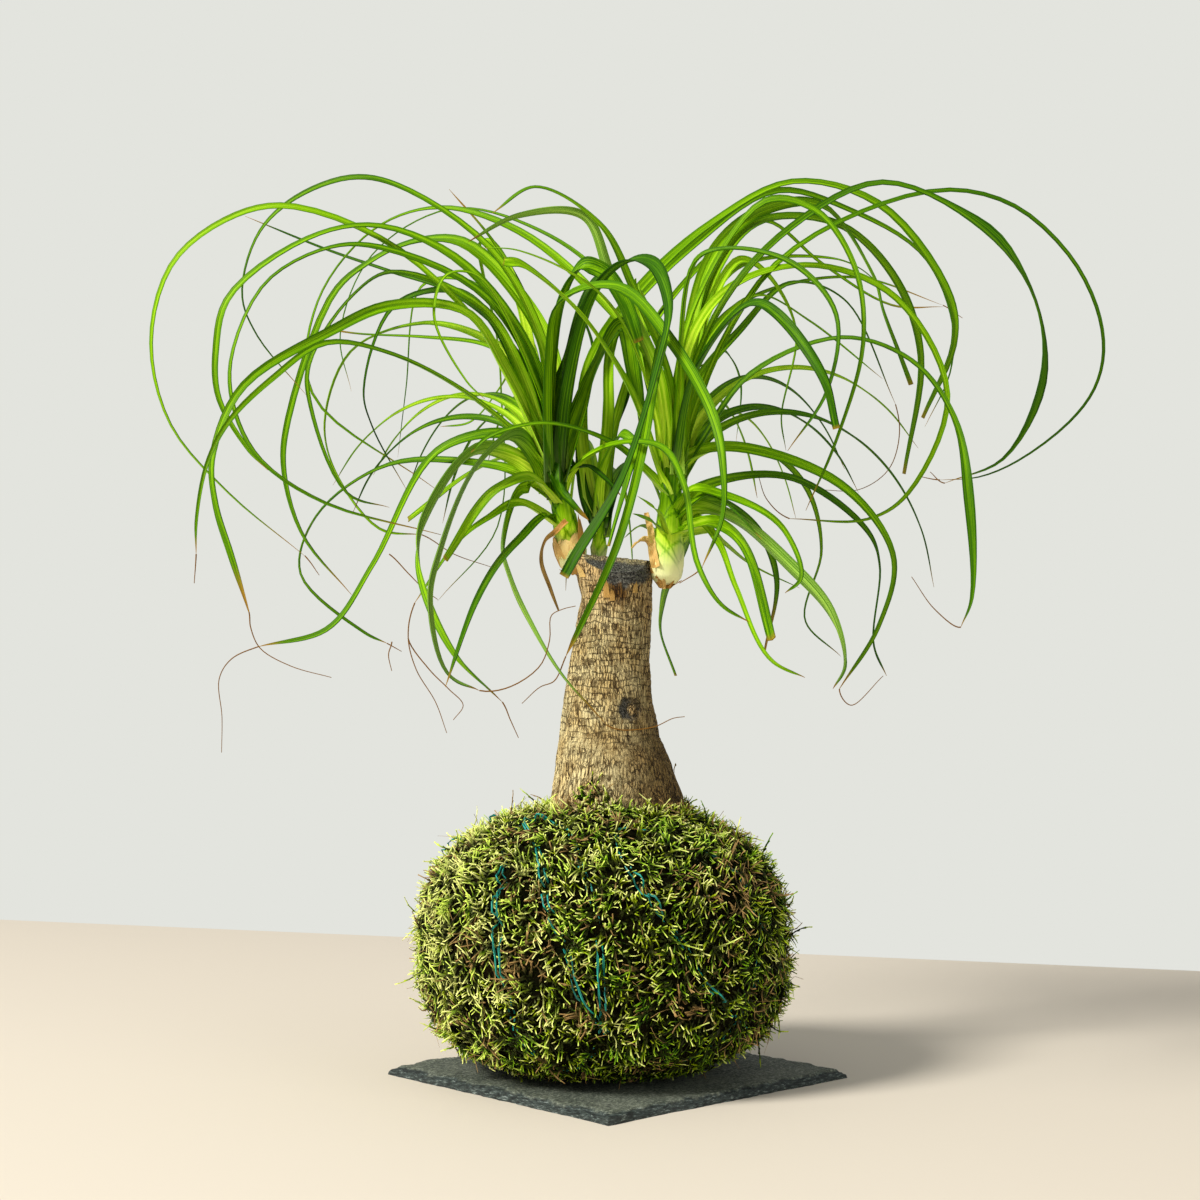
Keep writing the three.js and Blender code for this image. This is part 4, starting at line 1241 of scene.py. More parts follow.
LEFT_LEAVES = [
    leaf(10, 5, (20, 50), [(-42, 381), (-59, 414), (-80, 452), (-140, 510), (-205, 535), (-240, 528),
        (-275, 500), (-288, 452), (-276, 400), (-240, 357), (-192, 317)], wisp=[(-183, 305)]),
    leaf(9, 40, (20, 45), [(-42, 430), (-75, 503), (-135, 547), (-165, 553), (-200, 540), (-222, 518),
        (-232, 480), (-223, 455), (-192, 417)]),
    leaf(13, -10, (30, 60), [(-42, 400), (-62, 455), (-100, 501), (-150, 522), (-192, 514), (-240, 478),
        (-248, 445), (-246, 415), (-228, 384), (-215, 370)], tone=0.46),
    leaf(10, -45, (30, 50), [(-45, 400), (-62, 450), (-90, 484), (-150, 509), (-180, 508), (-217, 487),
        (-238, 440), (-236, 408), (-220, 377), (-180, 350), (-108, 330)], tone=0.4),
    leaf(14, 60, (35, 65), [(-42, 440), (-60, 477), (-95, 511), (-125, 512), (-152, 500), (-175, 480),
        (-203, 400), (-205, 370), (-193, 330), (-163, 293)]),
    leaf(9, 20, (30, 55), [(-60, 430), (-83, 470), (-140, 493), (-163, 479), (-190, 436), (-189, 410),
        (-166, 356), (-140, 347)]),
    leaf(12, -80, (30, 60), [(-70, 430), (-94, 467), (-140, 472), (-180, 455), (-231, 422), (-249, 379),
        (-247, 350), (-237, 317), (-226, 282)], wisp=[(-225, 273), (-219, 260), (-200, 249),
        (-175, 242)], dry=0.1, swell=[(0.86, 1.8, 0.11)]),
    leaf(9, -120, (20, 50), [(-49, 377), (-68, 397), (-100, 422), (-140, 442), (-180, 449), (-213, 427),
        (-240, 400), (-253, 374), (-259, 340), (-259, 318)], wisp=[(-260, 300)]),
    leaf(9, 130, (25, 50), [(-65, 437), (-83, 452), (-120, 461), (-164, 444), (-180, 400), (-174, 371),
        (-146, 334), (-120, 330)], wisp=[(-100, 318), (-77, 310)]),
    leaf(7, 150, (20, 60), [(-40, 370), (-68, 440), (-83, 449), (-120, 453), (-160, 455), (-179, 458)],
        dry=0.2),
    leaf(9, 85, (30, 60), [(-40, 370), (-75, 460), (-100, 482), (-138, 472), (-156, 420), (-151, 398),
        (-129, 357)]),
    leaf(6, 165, (30, 60), [(-36, 360), (-70, 470), (-100, 490), (-122, 483), (-130, 421), (-135, 378)]),
    leaf(5, -30, (30, 60), [(-36, 380), (-85, 490), (-105, 492), (-113, 466), (-93, 426), (-81, 414)]),
    leaf(7, 115, (30, 45), [(-38, 370), (-60, 440), (-100, 479), (-140, 494), (-180, 508), (-231, 529)]),
    leaf(6, 70, (30, 45), [(-45, 440), (-60, 486), (-80, 518), (-104, 546)], dry=0.25),
    leaf(13, -135, (-44, -66), [(-45, 375), (-60, 391), (-84, 374), (-108, 317), (-113, 286),
        (-103, 245), (-84, 234)], wisp=[(-66, 236), (-47, 249), (-41, 265), (-40, 280), (-33, 284),
        (-25, 286)], slim=0.25),
    leaf(12, -100, (-44, -66), [(-60, 378), (-85, 382), (-117, 340), (-121, 311), (-100, 259),
        (-70, 227)], wisp=[(-65, 216), (-60, 205)], slim=0.3),
    leaf(10, 25, (35, 60), [(-50, 380), (-68, 392), (-110, 381), (-149, 311), (-177, 272), (-220, 261)],
        wisp=[(-237, 253), (-244, 241), (-242, 218), (-242, 196)], slim=0.5, swell=[(0.6, 2.6, 0.11)]),
    leaf(8, -175, (30, 50), [(-51, 364), (-70, 360), (-88, 343), (-106, 315)], cut=True),
    leaf(8, -70, (30, 50), [(-60, 349), (-80, 340), (-99, 324), (-124, 288)], wisp=[(-128, 267),
        (-123, 247), (-111, 227), (-104, 208)]),
    leaf(9, 110, (30, 50), [(-54, 380), (-71, 377), (-94, 365), (-128, 339)], cut=True),
    leaf(9, 75, (30, 60), [(-60, 367), (-80, 373), (-140, 373), (-185, 341), (-194, 306), (-155, 270),
        (-141, 263)], wisp=[(-132, 258)]),
    leaf(9, -95, (-44, -66), [(-46, 358), (-60, 359), (-71, 325), (-66, 302), (-55, 278), (-35, 245),
        (-6, 213)], wisp=[(2.5, 210), (12, 210), (24, 212), (35, 217), (42, 218)], dry=0.12, slim=0.3),
    leaf(7, -200, (5, 15), [(-41, 341), (-61, 326), (-86, 289), (-105, 236)], slim=0.4),
    leaf(8, 190, (30, 60), [(-60, 480), (-78, 512), (-84, 512), (-74, 456), (-71, 421), (-73, 335),
        (-110, 289)]),
    leaf(7, 210, (30, 60), [(-45, 420), (-55, 450), (-72, 421), (-90, 400), (-109, 397)]),
    leaf(9, -180, (30, 60), [(-40, 435), (-34, 474), (0, 484), (35, 449), (61, 402), (67, 371),
        (66, 340), (53, 310)], wisp=[(39, 300)], slim=0.3, tone=0.42),
    leaf(15, -34, (45, 55), [(-38, 421), (-31, 478), (-20, 497), (-7, 494), (5, 475), (14, 450)],
        cut=True, tone=0.38),
    leaf(16, -16, (45, 55), [(-34, 415), (-27, 449), (-16, 478), (-8, 492)], cut=True, tone=0.32),
    leaf(16, -8, (40, 50), [(-22, 400), (-10, 437), (4, 460), (11, 425), (15, 400)], cut=True, tone=0.44),
    leaf(9, -230, (30, 50), [(-25, 369), (-8, 383), (26, 385), (42, 361), (52, 308), (65, 287), (82, 276)]),
    leaf(12, -20, (25, 40), [(-39, 369), (-35, 357), (-27, 349), (-17, 339)], dry=0.2, tone=0.3),
    leaf(9, -14, (20, 40), [(-28, 368), (-18, 372), (-8, 366), (3, 354)], tone=0.2),
    leaf(11, -190, (20, 40), [(-28, 420), (-12, 480), (8, 500), (24, 498), (34, 472), (27, 435),
        (3, 361), (-23, 319), (-32, 304)], cut=True, tone=0.24),
]

# Dry ends that hang free near the left crown: depth and path
LOOSE_WISPS = [
    (-72, [(-126, 277), (-128, 266), (-115, 247), (-103, 235), (-94, 225), (-100, 216)]),
    (-80, [(-139, 280), (-138, 264), (-140, 256), (-138, 246)]),
    (-40, [(-150, 322), (-140, 318), (-128, 306), (-118, 296), (-110, 290)]),
]

MIDDLE_LEAVES = [
    leaf(9, 45, (30, 60), [(-20, 400), (-15, 438), (14, 482), (60, 524), (111, 550), (165, 535),
        (206, 480), (209, 450), (189, 403)], cut=True),
    leaf(9, 80, (30, 60), [(-4, 400), (0, 455), (50, 512), (100, 545), (145, 533), (190, 505),
        (208, 464), (207, 432), (191, 397)]),
    leaf(7, 110, (30, 60), [(0, 400), (20, 455), (60, 505), (93, 526), (128, 499), (171, 473),
        (203, 472)], dry=0.2),
    # Painted shade: these leaves deep in the heart between the crowns get low tones, dark as in deep shade.
    leaf(8, 16, (30, 50), [(-19, 354), (-23, 387), (-20, 411), (-14, 445), (-24, 474)], tone=0.18),
    leaf(8, 24, (30, 50), [(-6, 350), (-2, 392), (7, 415), (16, 450), (36, 480)], tone=0.2),
    leaf(7, 34, (20, 50), [(-4, 345), (3, 366), (17, 392), (33, 420), (60, 440)], tone=0.16),
    leaf(7, 30, (20, 50), [(-16, 345), (-26, 372), (-44, 400), (-66, 424)], tone=0.16),
    leaf(7, 40, (30, 50), [(-10, 350), (-8, 400), (-4, 440), (4, 470)], tone=0.2),
    leaf(8, -60, (20, 50), [(-6, 370), (4, 392), (12, 385), (8, 366), (-4, 323)], cut=True),
]

RIGHT_LEAVES = [
    leaf(6.8, 30, (20, 50), [(42, 380), (65, 445), (100, 498), (153, 531), (208, 545), (248, 535),
        (281, 505), (298, 472), (302, 444), (296, 421), (280, 400), (248, 376), (224, 366), (200, 364)],
        wisp=[(188, 366)]),
    leaf(8, -30, (20, 60), [(38, 392), (65, 470), (107, 520), (165, 550), (223, 525), (258, 481),
        (264, 429), (240, 378), (203, 362)], wisp=[(194, 369)], swell=[(0.585, 10, 0.05),
        (0.79, 5, 0.06)]),
    leaf(9, -60, (20, 60), [(37, 410), (52, 477), (93, 538), (124, 533), (148, 498), (153, 449),
        (136, 389), (117, 345)]),
    leaf(10, 70, (30, 60), [(42, 430), (60, 505), (90, 532), (128, 535), (159, 492), (166, 467),
        (182, 423)], cut=True),
    leaf(11, 95, (30, 60), [(45, 430), (62, 495), (90, 525), (140, 522), (174, 487), (188, 441),
        (177, 368)], cut=True),
    leaf(9, -95, (30, 60), [(40, 420), (50, 500), (69, 508), (110, 499), (137, 467), (131, 420),
        (106, 382)]),
    leaf(9, 50, (30, 60), [(44, 430), (76, 501), (91, 495), (111, 458), (102, 403), (105, 382)]),
    leaf(10, 10, (30, 60), [(50, 455), (76, 486), (125, 497), (174, 477), (205, 417), (180, 356),
        (155, 340), (107, 340)], wisp=[(93, 352), (88, 366)]),
    leaf(9, 120, (30, 60), [(48, 420), (76, 457), (110, 487), (143, 475), (173, 411)], wisp=[(175, 390),
        (168, 370), (150, 358), (124, 358)]),
    leaf(9.5, -130, (30, 60), [(50, 430), (84, 473), (100, 467), (130, 426), (137, 396)], cut=True,
        tone=0.28),
    leaf(8, -75, (30, 60), [(50, 381), (84, 429), (140, 452), (183, 438), (209, 403), (218, 353),
        (219, 291), (212, 273)], wisp=[(196, 284), (182, 304)], swell=[(0.75, 4.2, 0.09)], tone=0.36),
    leaf(6, 140, (30, 60), [(50, 450), (76, 497), (128, 503), (150, 497), (177, 472)]),
    leaf(6, 195, (30, 60), [(55, 450), (91, 481), (153, 490), (203, 473)], wisp=[(215, 465)], dry=0.2),
    leaf(6, 85, (30, 60), [(50, 440), (88, 479), (120, 463), (165, 427)]),
    leaf(10, -15, (30, 60), [(45, 377), (73, 384), (138, 361), (170, 317), (161, 274), (137, 235)],
        wisp=[(144, 225), (164, 243)], slim=0.6),
    leaf(9, 60, (30, 60), [(55, 359), (107, 365), (154, 333), (162, 311), (158, 262), (166, 243)]),
    leaf(9, -150, (30, 60), [(46, 356), (66, 355), (105, 332), (114, 303), (104, 294)]),
    leaf(6, -60, (30, 60), [(55, 354), (64, 353), (90, 327)]),
    leaf(12, -110, (-40, -60), [(46, 345), (70, 340), (106, 311), (132, 280), (140, 250), (133, 235)],
        slim=0.2),
    leaf(10, -170, (30, 60), [(58, 337), (68, 335), (83, 317), (96, 265)], cut=True),
    leaf(8, 130, (30, 60), [(57, 332), (66, 325), (87, 309), (113, 297)]),
    leaf(8, -125, (30, 60), [(52, 338), (63, 326), (74, 297), (96, 252), (116, 242)]),
    leaf(8, 40, (30, 60), [(60, 350), (85, 335), (98, 303), (91, 259)], cut=True, dry=0.2),
    leaf(9, 100, (-20, 80), [(55, 380), (88, 383), (116, 361), (126, 320), (116, 277), (138, 255)]),
    leaf(8, 190, (30, 60), [(45, 342), (42, 325), (28, 290), (27, 269), (36, 243)], cut=True),
    leaf(6, 200, (30, 60), [(50, 420), (66, 445), (77, 424), (74, 386)]),
    leaf(9, -66, (30, 60), [(16, 370), (0, 385), (-45, 399), (-80, 390), (-90, 381)]),
    leaf(8, -25, (30, 60), [(33, 420), (10, 484), (-10, 523), (-50, 547), (-77, 531)], slim=0.5),
    leaf(9, -20, (-30, -60), [(25, 430), (-3, 491), (-20, 529), (-60, 529), (-92, 513)], slim=0.4),
    leaf(9, 105, (20, 60), [(30, 420), (-10, 476), (-60, 519), (-110, 534), (-151, 520), (-185, 475),
        (-188, 418), (-111, 358)]),
    leaf(5, 175, (20, 60), [(25, 400), (0, 480), (-48, 520), (-105, 533), (-152, 504), (-171, 455),
        (-164, 419)]),
    leaf(5, -125, (20, 60), [(20, 420), (-10, 480), (-60, 507), (-84, 509)]),
    leaf(11, -100, (30, 60), [(25, 370), (7, 421), (-27, 472), (-60, 498), (-70, 500)], cut=True),
    leaf(8, 20, (30, 60), [(27, 400), (12, 487), (27, 455), (25, 430)], cut=True),
    leaf(6, -90, (30, 50), [(26, 343), (20, 349), (13, 354)]),
    leaf(6, -130, (30, 50), [(25, 335), (16, 341), (10, 343)]),
    leaf(6, 60, (30, 50), [(27, 330), (14, 335), (5, 328)]),
    leaf(10, -85, (20, 40), [(36, 400), (38, 438), (31, 452), (25, 430), (16, 380), (0, 323),
        (-23, 272), (-31, 255)], wisp=[(-38, 240), (-47, 236), (-58, 226)], dry=0.12, slim=0.5),
]

# Crowns. A sheath runs from its foot to its mouth, a bulb and a neck in radius. Hidden is how the
# rule's leaves are spread: their headings from low to high, and how many. Light is their mean tone,
# set higher on the right crown as painted light so that it looks as brightly lit as the others
CROWNS = [
    {
        "name": "left_shoot", "foot": (-26, -2, 307), "mouth": (-37, -2, 368), "bulb": 8.8, "neck": 7.5,
        "leaves": LEFT_LEAVES, "loose": LOOSE_WISPS, "hidden": (104, 150, 6), "seed": 11, "light": 0.43,
    },
    {
        "name": "middle_shoot", "foot": (-11, 11, 312), "mouth": (-10, 11, 345), "bulb": 6, "neck": 4.5,
        "leaves": MIDDLE_LEAVES, "loose": [], "hidden": (70, 100, 3), "seed": 23, "light": 0.43,
    },
    {
        "name": "right_shoot", "foot": (30, -1, 299), "mouth": (35, -1, 374), "bulb": 10, "neck": 8,
        # Painted light: this crown's mean tone is raised so that it looks as lit as the others.
        "leaves": RIGHT_LEAVES, "loose": [], "hidden": (28, 74, 6), "seed": 37, "light": 0.48,
    },
]


def sight(x, z, depth):
    """A point of the upright plane, moved along the line of sight to its depth."""
    share = 1 - depth / EYE[1]
    return np.array([EYE[0] + (x - EYE[0]) * share, depth, EYE[2] + (z - EYE[2]) * share])


def root_point(crown, towards):
    """Where a leaf starts in its sheath: a little below the point that it makes for, on its side."""
    low, high = np.array(crown["foot"], float), np.array(crown["mouth"], float)
    share = min(max((towards[2] - ROOT_DROP - low[2]) / (high[2] - low[2]), 0.4), 0.9)
    start = low + (high - low) * share
    side = np.array([towards[0] - start[0], towards[1] - start[1], 0])
    return start + unit(side) * crown["neck"] * 0.45


def listed_path(crown, one):
    """A listed leaf leaves its sheath upright and swings to its full depth before its tip."""
    mouth, path, reach = crown["mouth"], one["path"], one["reach"]
    start = root_point(crown, sight(*path[0], mouth[1] + math.copysign(3, reach)))
    flat = np.array([(start[0], start[2]), *path])
    lengths = np.cumsum(np.linalg.norm(np.diff(flat, axis=0), axis=1))
    points = [start]
    for (x, z), length in zip(path, lengths):
        bow = 0.5 - 0.5 * math.cos(math.pi * min(1, length / lengths[-1] * 1.15))
        points.append(sight(x, z, mouth[1] + reach * bow))
    return np.array(points)


def arched_path(crown, heading, length, rise, fall):
    """A leaf that arches out at a heading, its slope falling evenly from rise to fall."""
    out = np.array([math.cos(math.radians(heading)), math.sin(math.radians(heading)), 0])
    points = [root_point(crown, np.array(crown["mouth"]) + out)]
    spans = 7
    for i in range(spans):
        slope = math.radians(between(rise, fall, ((i + 0.5) / spans) ** 0.8))
        step = length / spans * (out * math.cos(slope) + np.array([0, 0, math.sin(slope)]))
        points.append(points[-1] + step)
    return np.array(points)


def blade_widths(one, levels, length):
    """A leaf clasps its crown at the root, narrows evenly, and draws to a point unless cut."""
    clasp = 1 + 0.4 * np.exp(-(levels * length / 45) ** 2)
    slim = np.interp(levels, WIDTH_LEVELS, WIDTH_SLIM)
    full = np.interp(levels, WIDTH_LEVELS, WIDTH_FULL)
    taper = between(full, slim, one["slim"])
    if one["cut"]:
        taper = np.interp(levels, WIDTH_LEVELS, WIDTH_CUT)
    widths = one["wide"] * BLADE_WIDER * clasp * taper
    for place, more, spread in one["swell"]:
        widths = widths + more * np.exp(-((levels - place) / spread) ** 2)
    return widths


def blade_sides(points, along, levels, one, draw):
    """The directions across a blade and out of its upper face, rolled along its length and swaying
    a little, and 1 or -1 for the hand that its strip is laid with."""
    start = points[0]
    far = points[np.argmax(np.linalg.norm(points - start, axis=1))]
    heading = unit(np.array([far[0] - start[0], far[1] - start[1], 0]))
    hand = 1 if heading[0] < 0 else -1
    near = np.array([heading[1], -heading[0], 0]) * -hand
    side = unit(near - along * (along @ near)[:, None])
    upper = np.cross(along, side) * hand
    root_roll, tip_roll = one["rolls"]
    root_roll += math.copysign(ROOT_OPENS, root_roll)
    phase = draw.uniform(0, 2 * math.pi)
    sway = LEAF_SWAY * np.sin(levels * draw.uniform(6, 11) + phase) * smooth_step(0.15, 0.45, levels)
    roll = np.radians(root_roll + (tip_roll - root_roll) * np.minimum(1, levels * 2) + sway)[:, None]
    return side * np.cos(roll) - upper * np.sin(roll), upper * np.cos(roll) + side * np.sin(roll), hand


def blade(template, points, one, draw):
    """A channelled blade along its path. A positive roll shows its upper face to the viewer."""
    levels = np.linspace(0, 1, LEAF_ALONG + 1)
    line, along = curve_points(points, levels)
    length = np.linalg.norm(np.diff(line, axis=0), axis=1).sum()
    across, face, hand = blade_sides(points, along, levels, one, draw)
    widths = blade_widths(one, levels, length)
    fold = between(*LEAF_FOLD, smooth_step(0.0, 0.5, levels))
    row = np.rint((template.points[:, 1] + 1) / 2 * LEAF_ALONG).astype(int)
    flat = template.points[:, 0:1]
    half = widths[row][:, None] / 2
    tilt = fold[row][:, None]
    spread = hand * flat * half * np.cos(np.arctan(tilt))
    thick = LEAF_THICK * np.minimum(1, widths[row][:, None] / 2)
    lift = np.abs(flat) * half * np.sin(np.arctan(tilt)) + template.points[:, 2:3] * thick
    return line[row] + across[row] * spread + face[row] * lift, levels[row]


def leaf_states(template, levels, one, tone):
    """Tone, dryness, underside and paleness over one leaf."""
    states = np.ones((len(levels), 4))
    fresh = 0.32 if one["tone"] is None else 0.06
    states[:, 0] = tone + fresh * smooth_step(0.4, 0.08, levels) - 0.04 * smooth_step(0.35, 0.8, levels)
    dry = smooth_step(1 - one["dry"], 1 - one["dry"] * 0.3, levels)
    if one["cut"]:
        dry = np.maximum(smooth_step(0.99, 1.0, levels) * 0.8, dry * (one["dry"] > 0.1))
    states[:, 1] = dry
    silvery = smooth_step(0.15, 0.4, levels) * (one["rolls"][1] < 0)
    states[:, 2] = (template.points[:, 2] < 0) * silvery
    states[:, 3] = 0.12 * smooth_step(0.07, 0.0, levels)
    return np.clip(states, 0, 1)


def hidden_leaves(crown):
    """The leaves at the back of a crown, which the viewer hardly sees, each with its path. A rule
    spreads them over the headings from low to high."""
    pull = drawer(crown["seed"])
    low, high, count = crown["hidden"]
    for i in range(count):
        heading = between(low, high, (i + 0.2 + 0.6 * next(pull)) / count)
        length = between(210, 290, next(pull))
        rise = between(86, 72, next(pull))
        fall = between(-40, -85, next(pull))
        one = leaf(between(7, 10, next(pull)), 0, (10, 40), [])
        yield one, arched_path(crown, heading, length, rise, fall)


def crown_piece(crown, strip, wire, material):
    """All the leaves of a crown and their wisps, as one piece."""
    draw = random.Random(crown["seed"])
    heap = Heap()
    for one in crown["leaves"]:
        points = listed_path(crown, one)
        made, levels = blade(strip, points, one, draw)
        tone = np.clip(crown["light"] + draw.gauss(0, TONE_SPREAD), *TONE_LIMITS)
        tone = tone if one["tone"] is None else one["tone"]
        heap.add(made, strip, leaf_states(strip, levels, one, tone))
        if one["wisp"]:
            depth = points[-1][1]
            tail = [points[-2], points[-1], *(sight(x, z, depth) for x, z in one["wisp"])]
            add_wisp(heap, wire, tail)
    for depth, path in crown["loose"]:
        add_wisp(heap, wire, [sight(x, z, depth) for x, z in path])
    for one, points in hidden_leaves(crown):
        made, levels = blade(strip, points, one, draw)
        heap.add(made, strip, leaf_states(strip, levels, one, draw.uniform(0.3, 0.7)))
    settle(heap.piece(crown["name"] + "_leaves", "leaf_state"), material, crown["name"], 50)


def add_wisp(heap, wire, points):
    """A dry hair-thin end that carries on from a leaf's tip. Its first point lies on the leaf and
    only gives its start a direction."""
    levels = np.linspace(1 / (len(points) - 1), 1, WISP_RINGS + 1)
    line, along = curve_points(points, levels)
    radii = np.linspace(WISP_RADIUS, WISP_RADIUS * 0.5, WISP_RINGS + 1)
    made = tube(wire, line, along, radii)
    dry = np.tile([0.3, 1.0, 1.0, 0.0], (len(made), 1))
    heap.add(made, wire, dry)


# Sheaths at the crowns' feet

def sheath_profile(crown, height, length):
    """The radius of a crown's sheath at a height: a swollen bulb that draws in to its neck."""
    bulb, neck = crown["bulb"], crown["neck"]
    heights = [0, 1.2, 4.5, 12, length * 0.36, length * 0.6, length, length + 2]
    radii = [0, bulb * 0.5, bulb * 0.82, bulb, bulb * 0.96, neck * 1.06, neck, 0]
    return float(np.interp(height, heights, radii))


def crown_axis(crown):
    """A crown's foot, how its axis is turned from upright, and how long its sheath is."""
    foot = Vector(crown["foot"])
    axis = Vector(crown["mouth"]) - foot
    return foot, Vector((0, 0, 1)).rotation_difference(axis), axis.length


def leaf_bases(crown, length):
    """The leaf bases that clasp a sheath, on alternate sides and each higher than the last: the
    angle of its middle, its top there, and how steeply its rim falls to each side."""
    draw = random.Random(crown["seed"] + 1)
    bases = []
    for i in range(BASE_COUNT):
        top = length * between(0.3, 1.0, (i + 0.5) / BASE_COUNT) + draw.uniform(-2, 2)
        bases.append((i * math.pi - 0.6 + draw.uniform(-0.7, 0.7), top, draw.uniform(4, 8)))
    return bases


def sheath_piece(crown, material):
    """The pale swollen foot of a crown, wrapped in the clasping bases of its leaves."""
    foot, turn, length = crown_axis(crown)
    flaps = leaf_bases(crown, length)
    piece = add_column(crown["name"] + "_sheath", *SHEATH_MESH)
    states = []

    def place(x, y, level):
        spread = math.hypot(x, y)
        height = level * (length + 2)
        angle = math.atan2(y, x)
        radius = sheath_profile(crown, height, length)
        cover = 0
        edge = 0
        for middle, top, slant in flaps:
            away = abs((angle - middle + math.pi) % (2 * math.pi) - math.pi)
            rim = top - slant * away ** 1.5
            cover += float(smooth_step(-0.6, 0.6, rim - height))
            edge = max(edge, float(smooth_step(1.6, 0.2, abs(rim - height - 0.6))))
        radius = radius + 0.6 * cover - 2.2 + 0.1 * math.sin(38 * angle)
        radius = max(radius, 0.4) if 0 < level < 1 else min(radius, 0.4)
        share = height / length
        pale = float(smooth_step(0.42, 0.06, share + 0.05 * math.sin(3 * angle) + 0.05 * edge))
        tone = 0.72 - 0.24 * smooth_step(0.3, 0.8, share) - 0.26 * edge
        states.append((float(tone), 0, 0, min(1, pale)))
        local = Vector((radius * spread * math.cos(angle), radius * spread * math.sin(angle), height))
        return foot + turn @ local

    reshape(piece, place)
    face_out(piece)
    paint(piece, "leaf_state", states)
    dress(piece, material, crown["name"])


# Papery husks, bark flakes and dried pieces

def scale_points(flake, skin, heading, half_turn, low, high, stand, draw):
    """A papery scale that hugs the skin: skin(angle, height, stand) answers with a point."""
    seed = draw.uniform(1, 60)
    points = []
    for u, v, w in flake.points:
        level = (v + 1) / 2
        torn = 1 + 0.3 * noise.noise(Vector((u * 3.2, seed, 0))) * level
        width = math.sqrt(max(0.02, 1 - level ** 2.4)) + 0.1 * noise.noise(Vector((seed, level * 5, 1)))
        angle = math.radians(heading + half_turn * u * width)
        buckle = noise.noise(Vector((u * 1.6, level * 4, seed)))
        lift = stand * (0.15 + level ** 2) + 0.22 * w + 0.25 * buckle
        points.append(skin(angle, between(low, high, level * torn), lift))
    return np.array(points)


# Scales of husk: heading, half turn, low and high edge above the foot, how far the tip stands off,
# how dark and how rusty
LEFT_SCALES = [
    (-110, 66, -1, 19, 0.3, 0.0, 0.1), (-52, 52, -1, 21, 0.3, 0.0, 0.3),
    (-158, 46, -1.5, 22, 0.5, 0.0, 0.5), (-84, 30, -2, 9, 0.8, 0.05, 0.6),
    (-22, 34, 0, 29, 1.2, 0.1, 0.9), (140, 55, -1, 20, 1.2, 0.05, 0.5),
    (70, 55, -1, 22, 1.2, 0.0, 0.4),
]
MIDDLE_SCALES = [
    (-100, 40, -1, 4, 0.5, 0.3, 0.9), (-10, 40, -1, 5, 0.6, 0.3, 0.8),
    (120, 50, -1, 6, 0.8, 0.2, 0.8),
]
RIGHT_SCALES = [
    (-128, 16, -2.5, 4.5, 0.9, 0.05, 0.85), (-98, 14, -3, 2.5, 1.2, 0.0, 0.5),
    (-150, 18, -2, 9, 1.2, 0.0, 0.6), (-50, 12, -2, 2, 1.0, 0.1, 0.9),
    (60, 50, -2, 8, 1.2, 0.1, 0.7), (130, 40, -2, 11, 1.2, 0.1, 0.8),
]
# The same on the trunk below its cut, with heights from the slate's underside
BARK_SCALES = [
    (-106, 5, 290, 301, 1.8, 0.3, 0.7), (-97, 4, 288, 295, 1.4, 0.4, 0.7),
    (-60, 4, 293, 299, 1.2, 0.4, 0.6), (-150, 9, 303, 311, 1.0, 0.0, 0.25),
    (-4, 3, 184, 189, 2.2, 0.9, 0.9),
]


def frayed(draw, count):
    """Small torn ends of old husk all round a crown's foot."""
    scales = []
    for _ in range(count):
        low = draw.uniform(-2.5, -0.5)
        high = draw.uniform(1.5, 5)
        dark = draw.uniform(0, 0.3)
        rust = draw.uniform(0.5, 1)
        heading = draw.uniform(-180, 180)
        half_turn = draw.uniform(7, 15)
        stand = draw.uniform(0.9, 2.6)
        scales.append((heading, half_turn, low, high, stand, dark, rust))
    return scales


def scale_heap(heap, flake, skin, scales, draw):
    """Adds each scale to the heap. The rusty ones darken towards their tips."""
    for heading, half_turn, low, high, stand, dark, rust in scales:
        points = scale_points(flake, skin, heading, half_turn, low, high, stand, draw)
        states = np.tile([dark, rust, 0.0, 1.0], (len(points), 1))
        states[:, 0] += 0.4 * smooth_step(0.5, 1.0, flake.points[:, 1]) * rust
        heap.add(points, flake, np.clip(states, 0, 1))


def crown_scales(crown, scales, flake, material):
    """The papery husks round a crown's bulb."""
    foot, turn, length = crown_axis(crown)

    def skin(angle, height, stand):
        tucked = 0.5 + 0.5 * float(smooth_step(-3, 3, height))
        radius = (sheath_profile(crown, max(height, 2.5), length) + 0.5 + stand) * tucked
        return foot + turn @ Vector((radius * math.cos(angle), radius * math.sin(angle), height))

    heap = Heap()
    draw = random.Random(crown["seed"] + 2)
    scale_heap(heap, flake, skin, scales + frayed(draw, FRAYED_COUNT), draw)
    settle(heap.piece(crown["name"] + "_husk", "husk_state"), material, crown["name"])


def bark_scales(flake, material):
    """Loose flakes of bark under the cut and on the trunk's side."""

    def skin(angle, height, stand):
        x, y = trunk_skin(angle, height)
        grown = 1 + (stand + 0.3) / math.hypot(x, y)
        return x * grown, y * grown, height

    heap = Heap()
    scale_heap(heap, flake, skin, BARK_SCALES, random.Random(8))
    settle(heap.piece("bark_flakes", "husk_state"), material, "trunk")


# Dried pieces. Each is a few papery strips: width, roll at the root and tip, and points x, y, z

DRY_LEAF = [
    (3.4, (80, 80), [
        (-30, -12.5, 337), (-36, -13, 331), (-43, -11, 325), (-45.5, -9, 313), (-40, -8, 296),
        (-35, -8, 283),
    ]),
]
DRY_SHEATH = [
    (4.6, (60, 60), [(24.5, -10.2, 309), (21.6, -8.2, 322), (20.4, -7.6, 334), (18.5, -7.2, 343)]),
    (3.6, (-55, -20), [(22, -8.6, 322), (18, -11, 326), (13, -13, 324), (9.5, -13, 320.5)]),
]


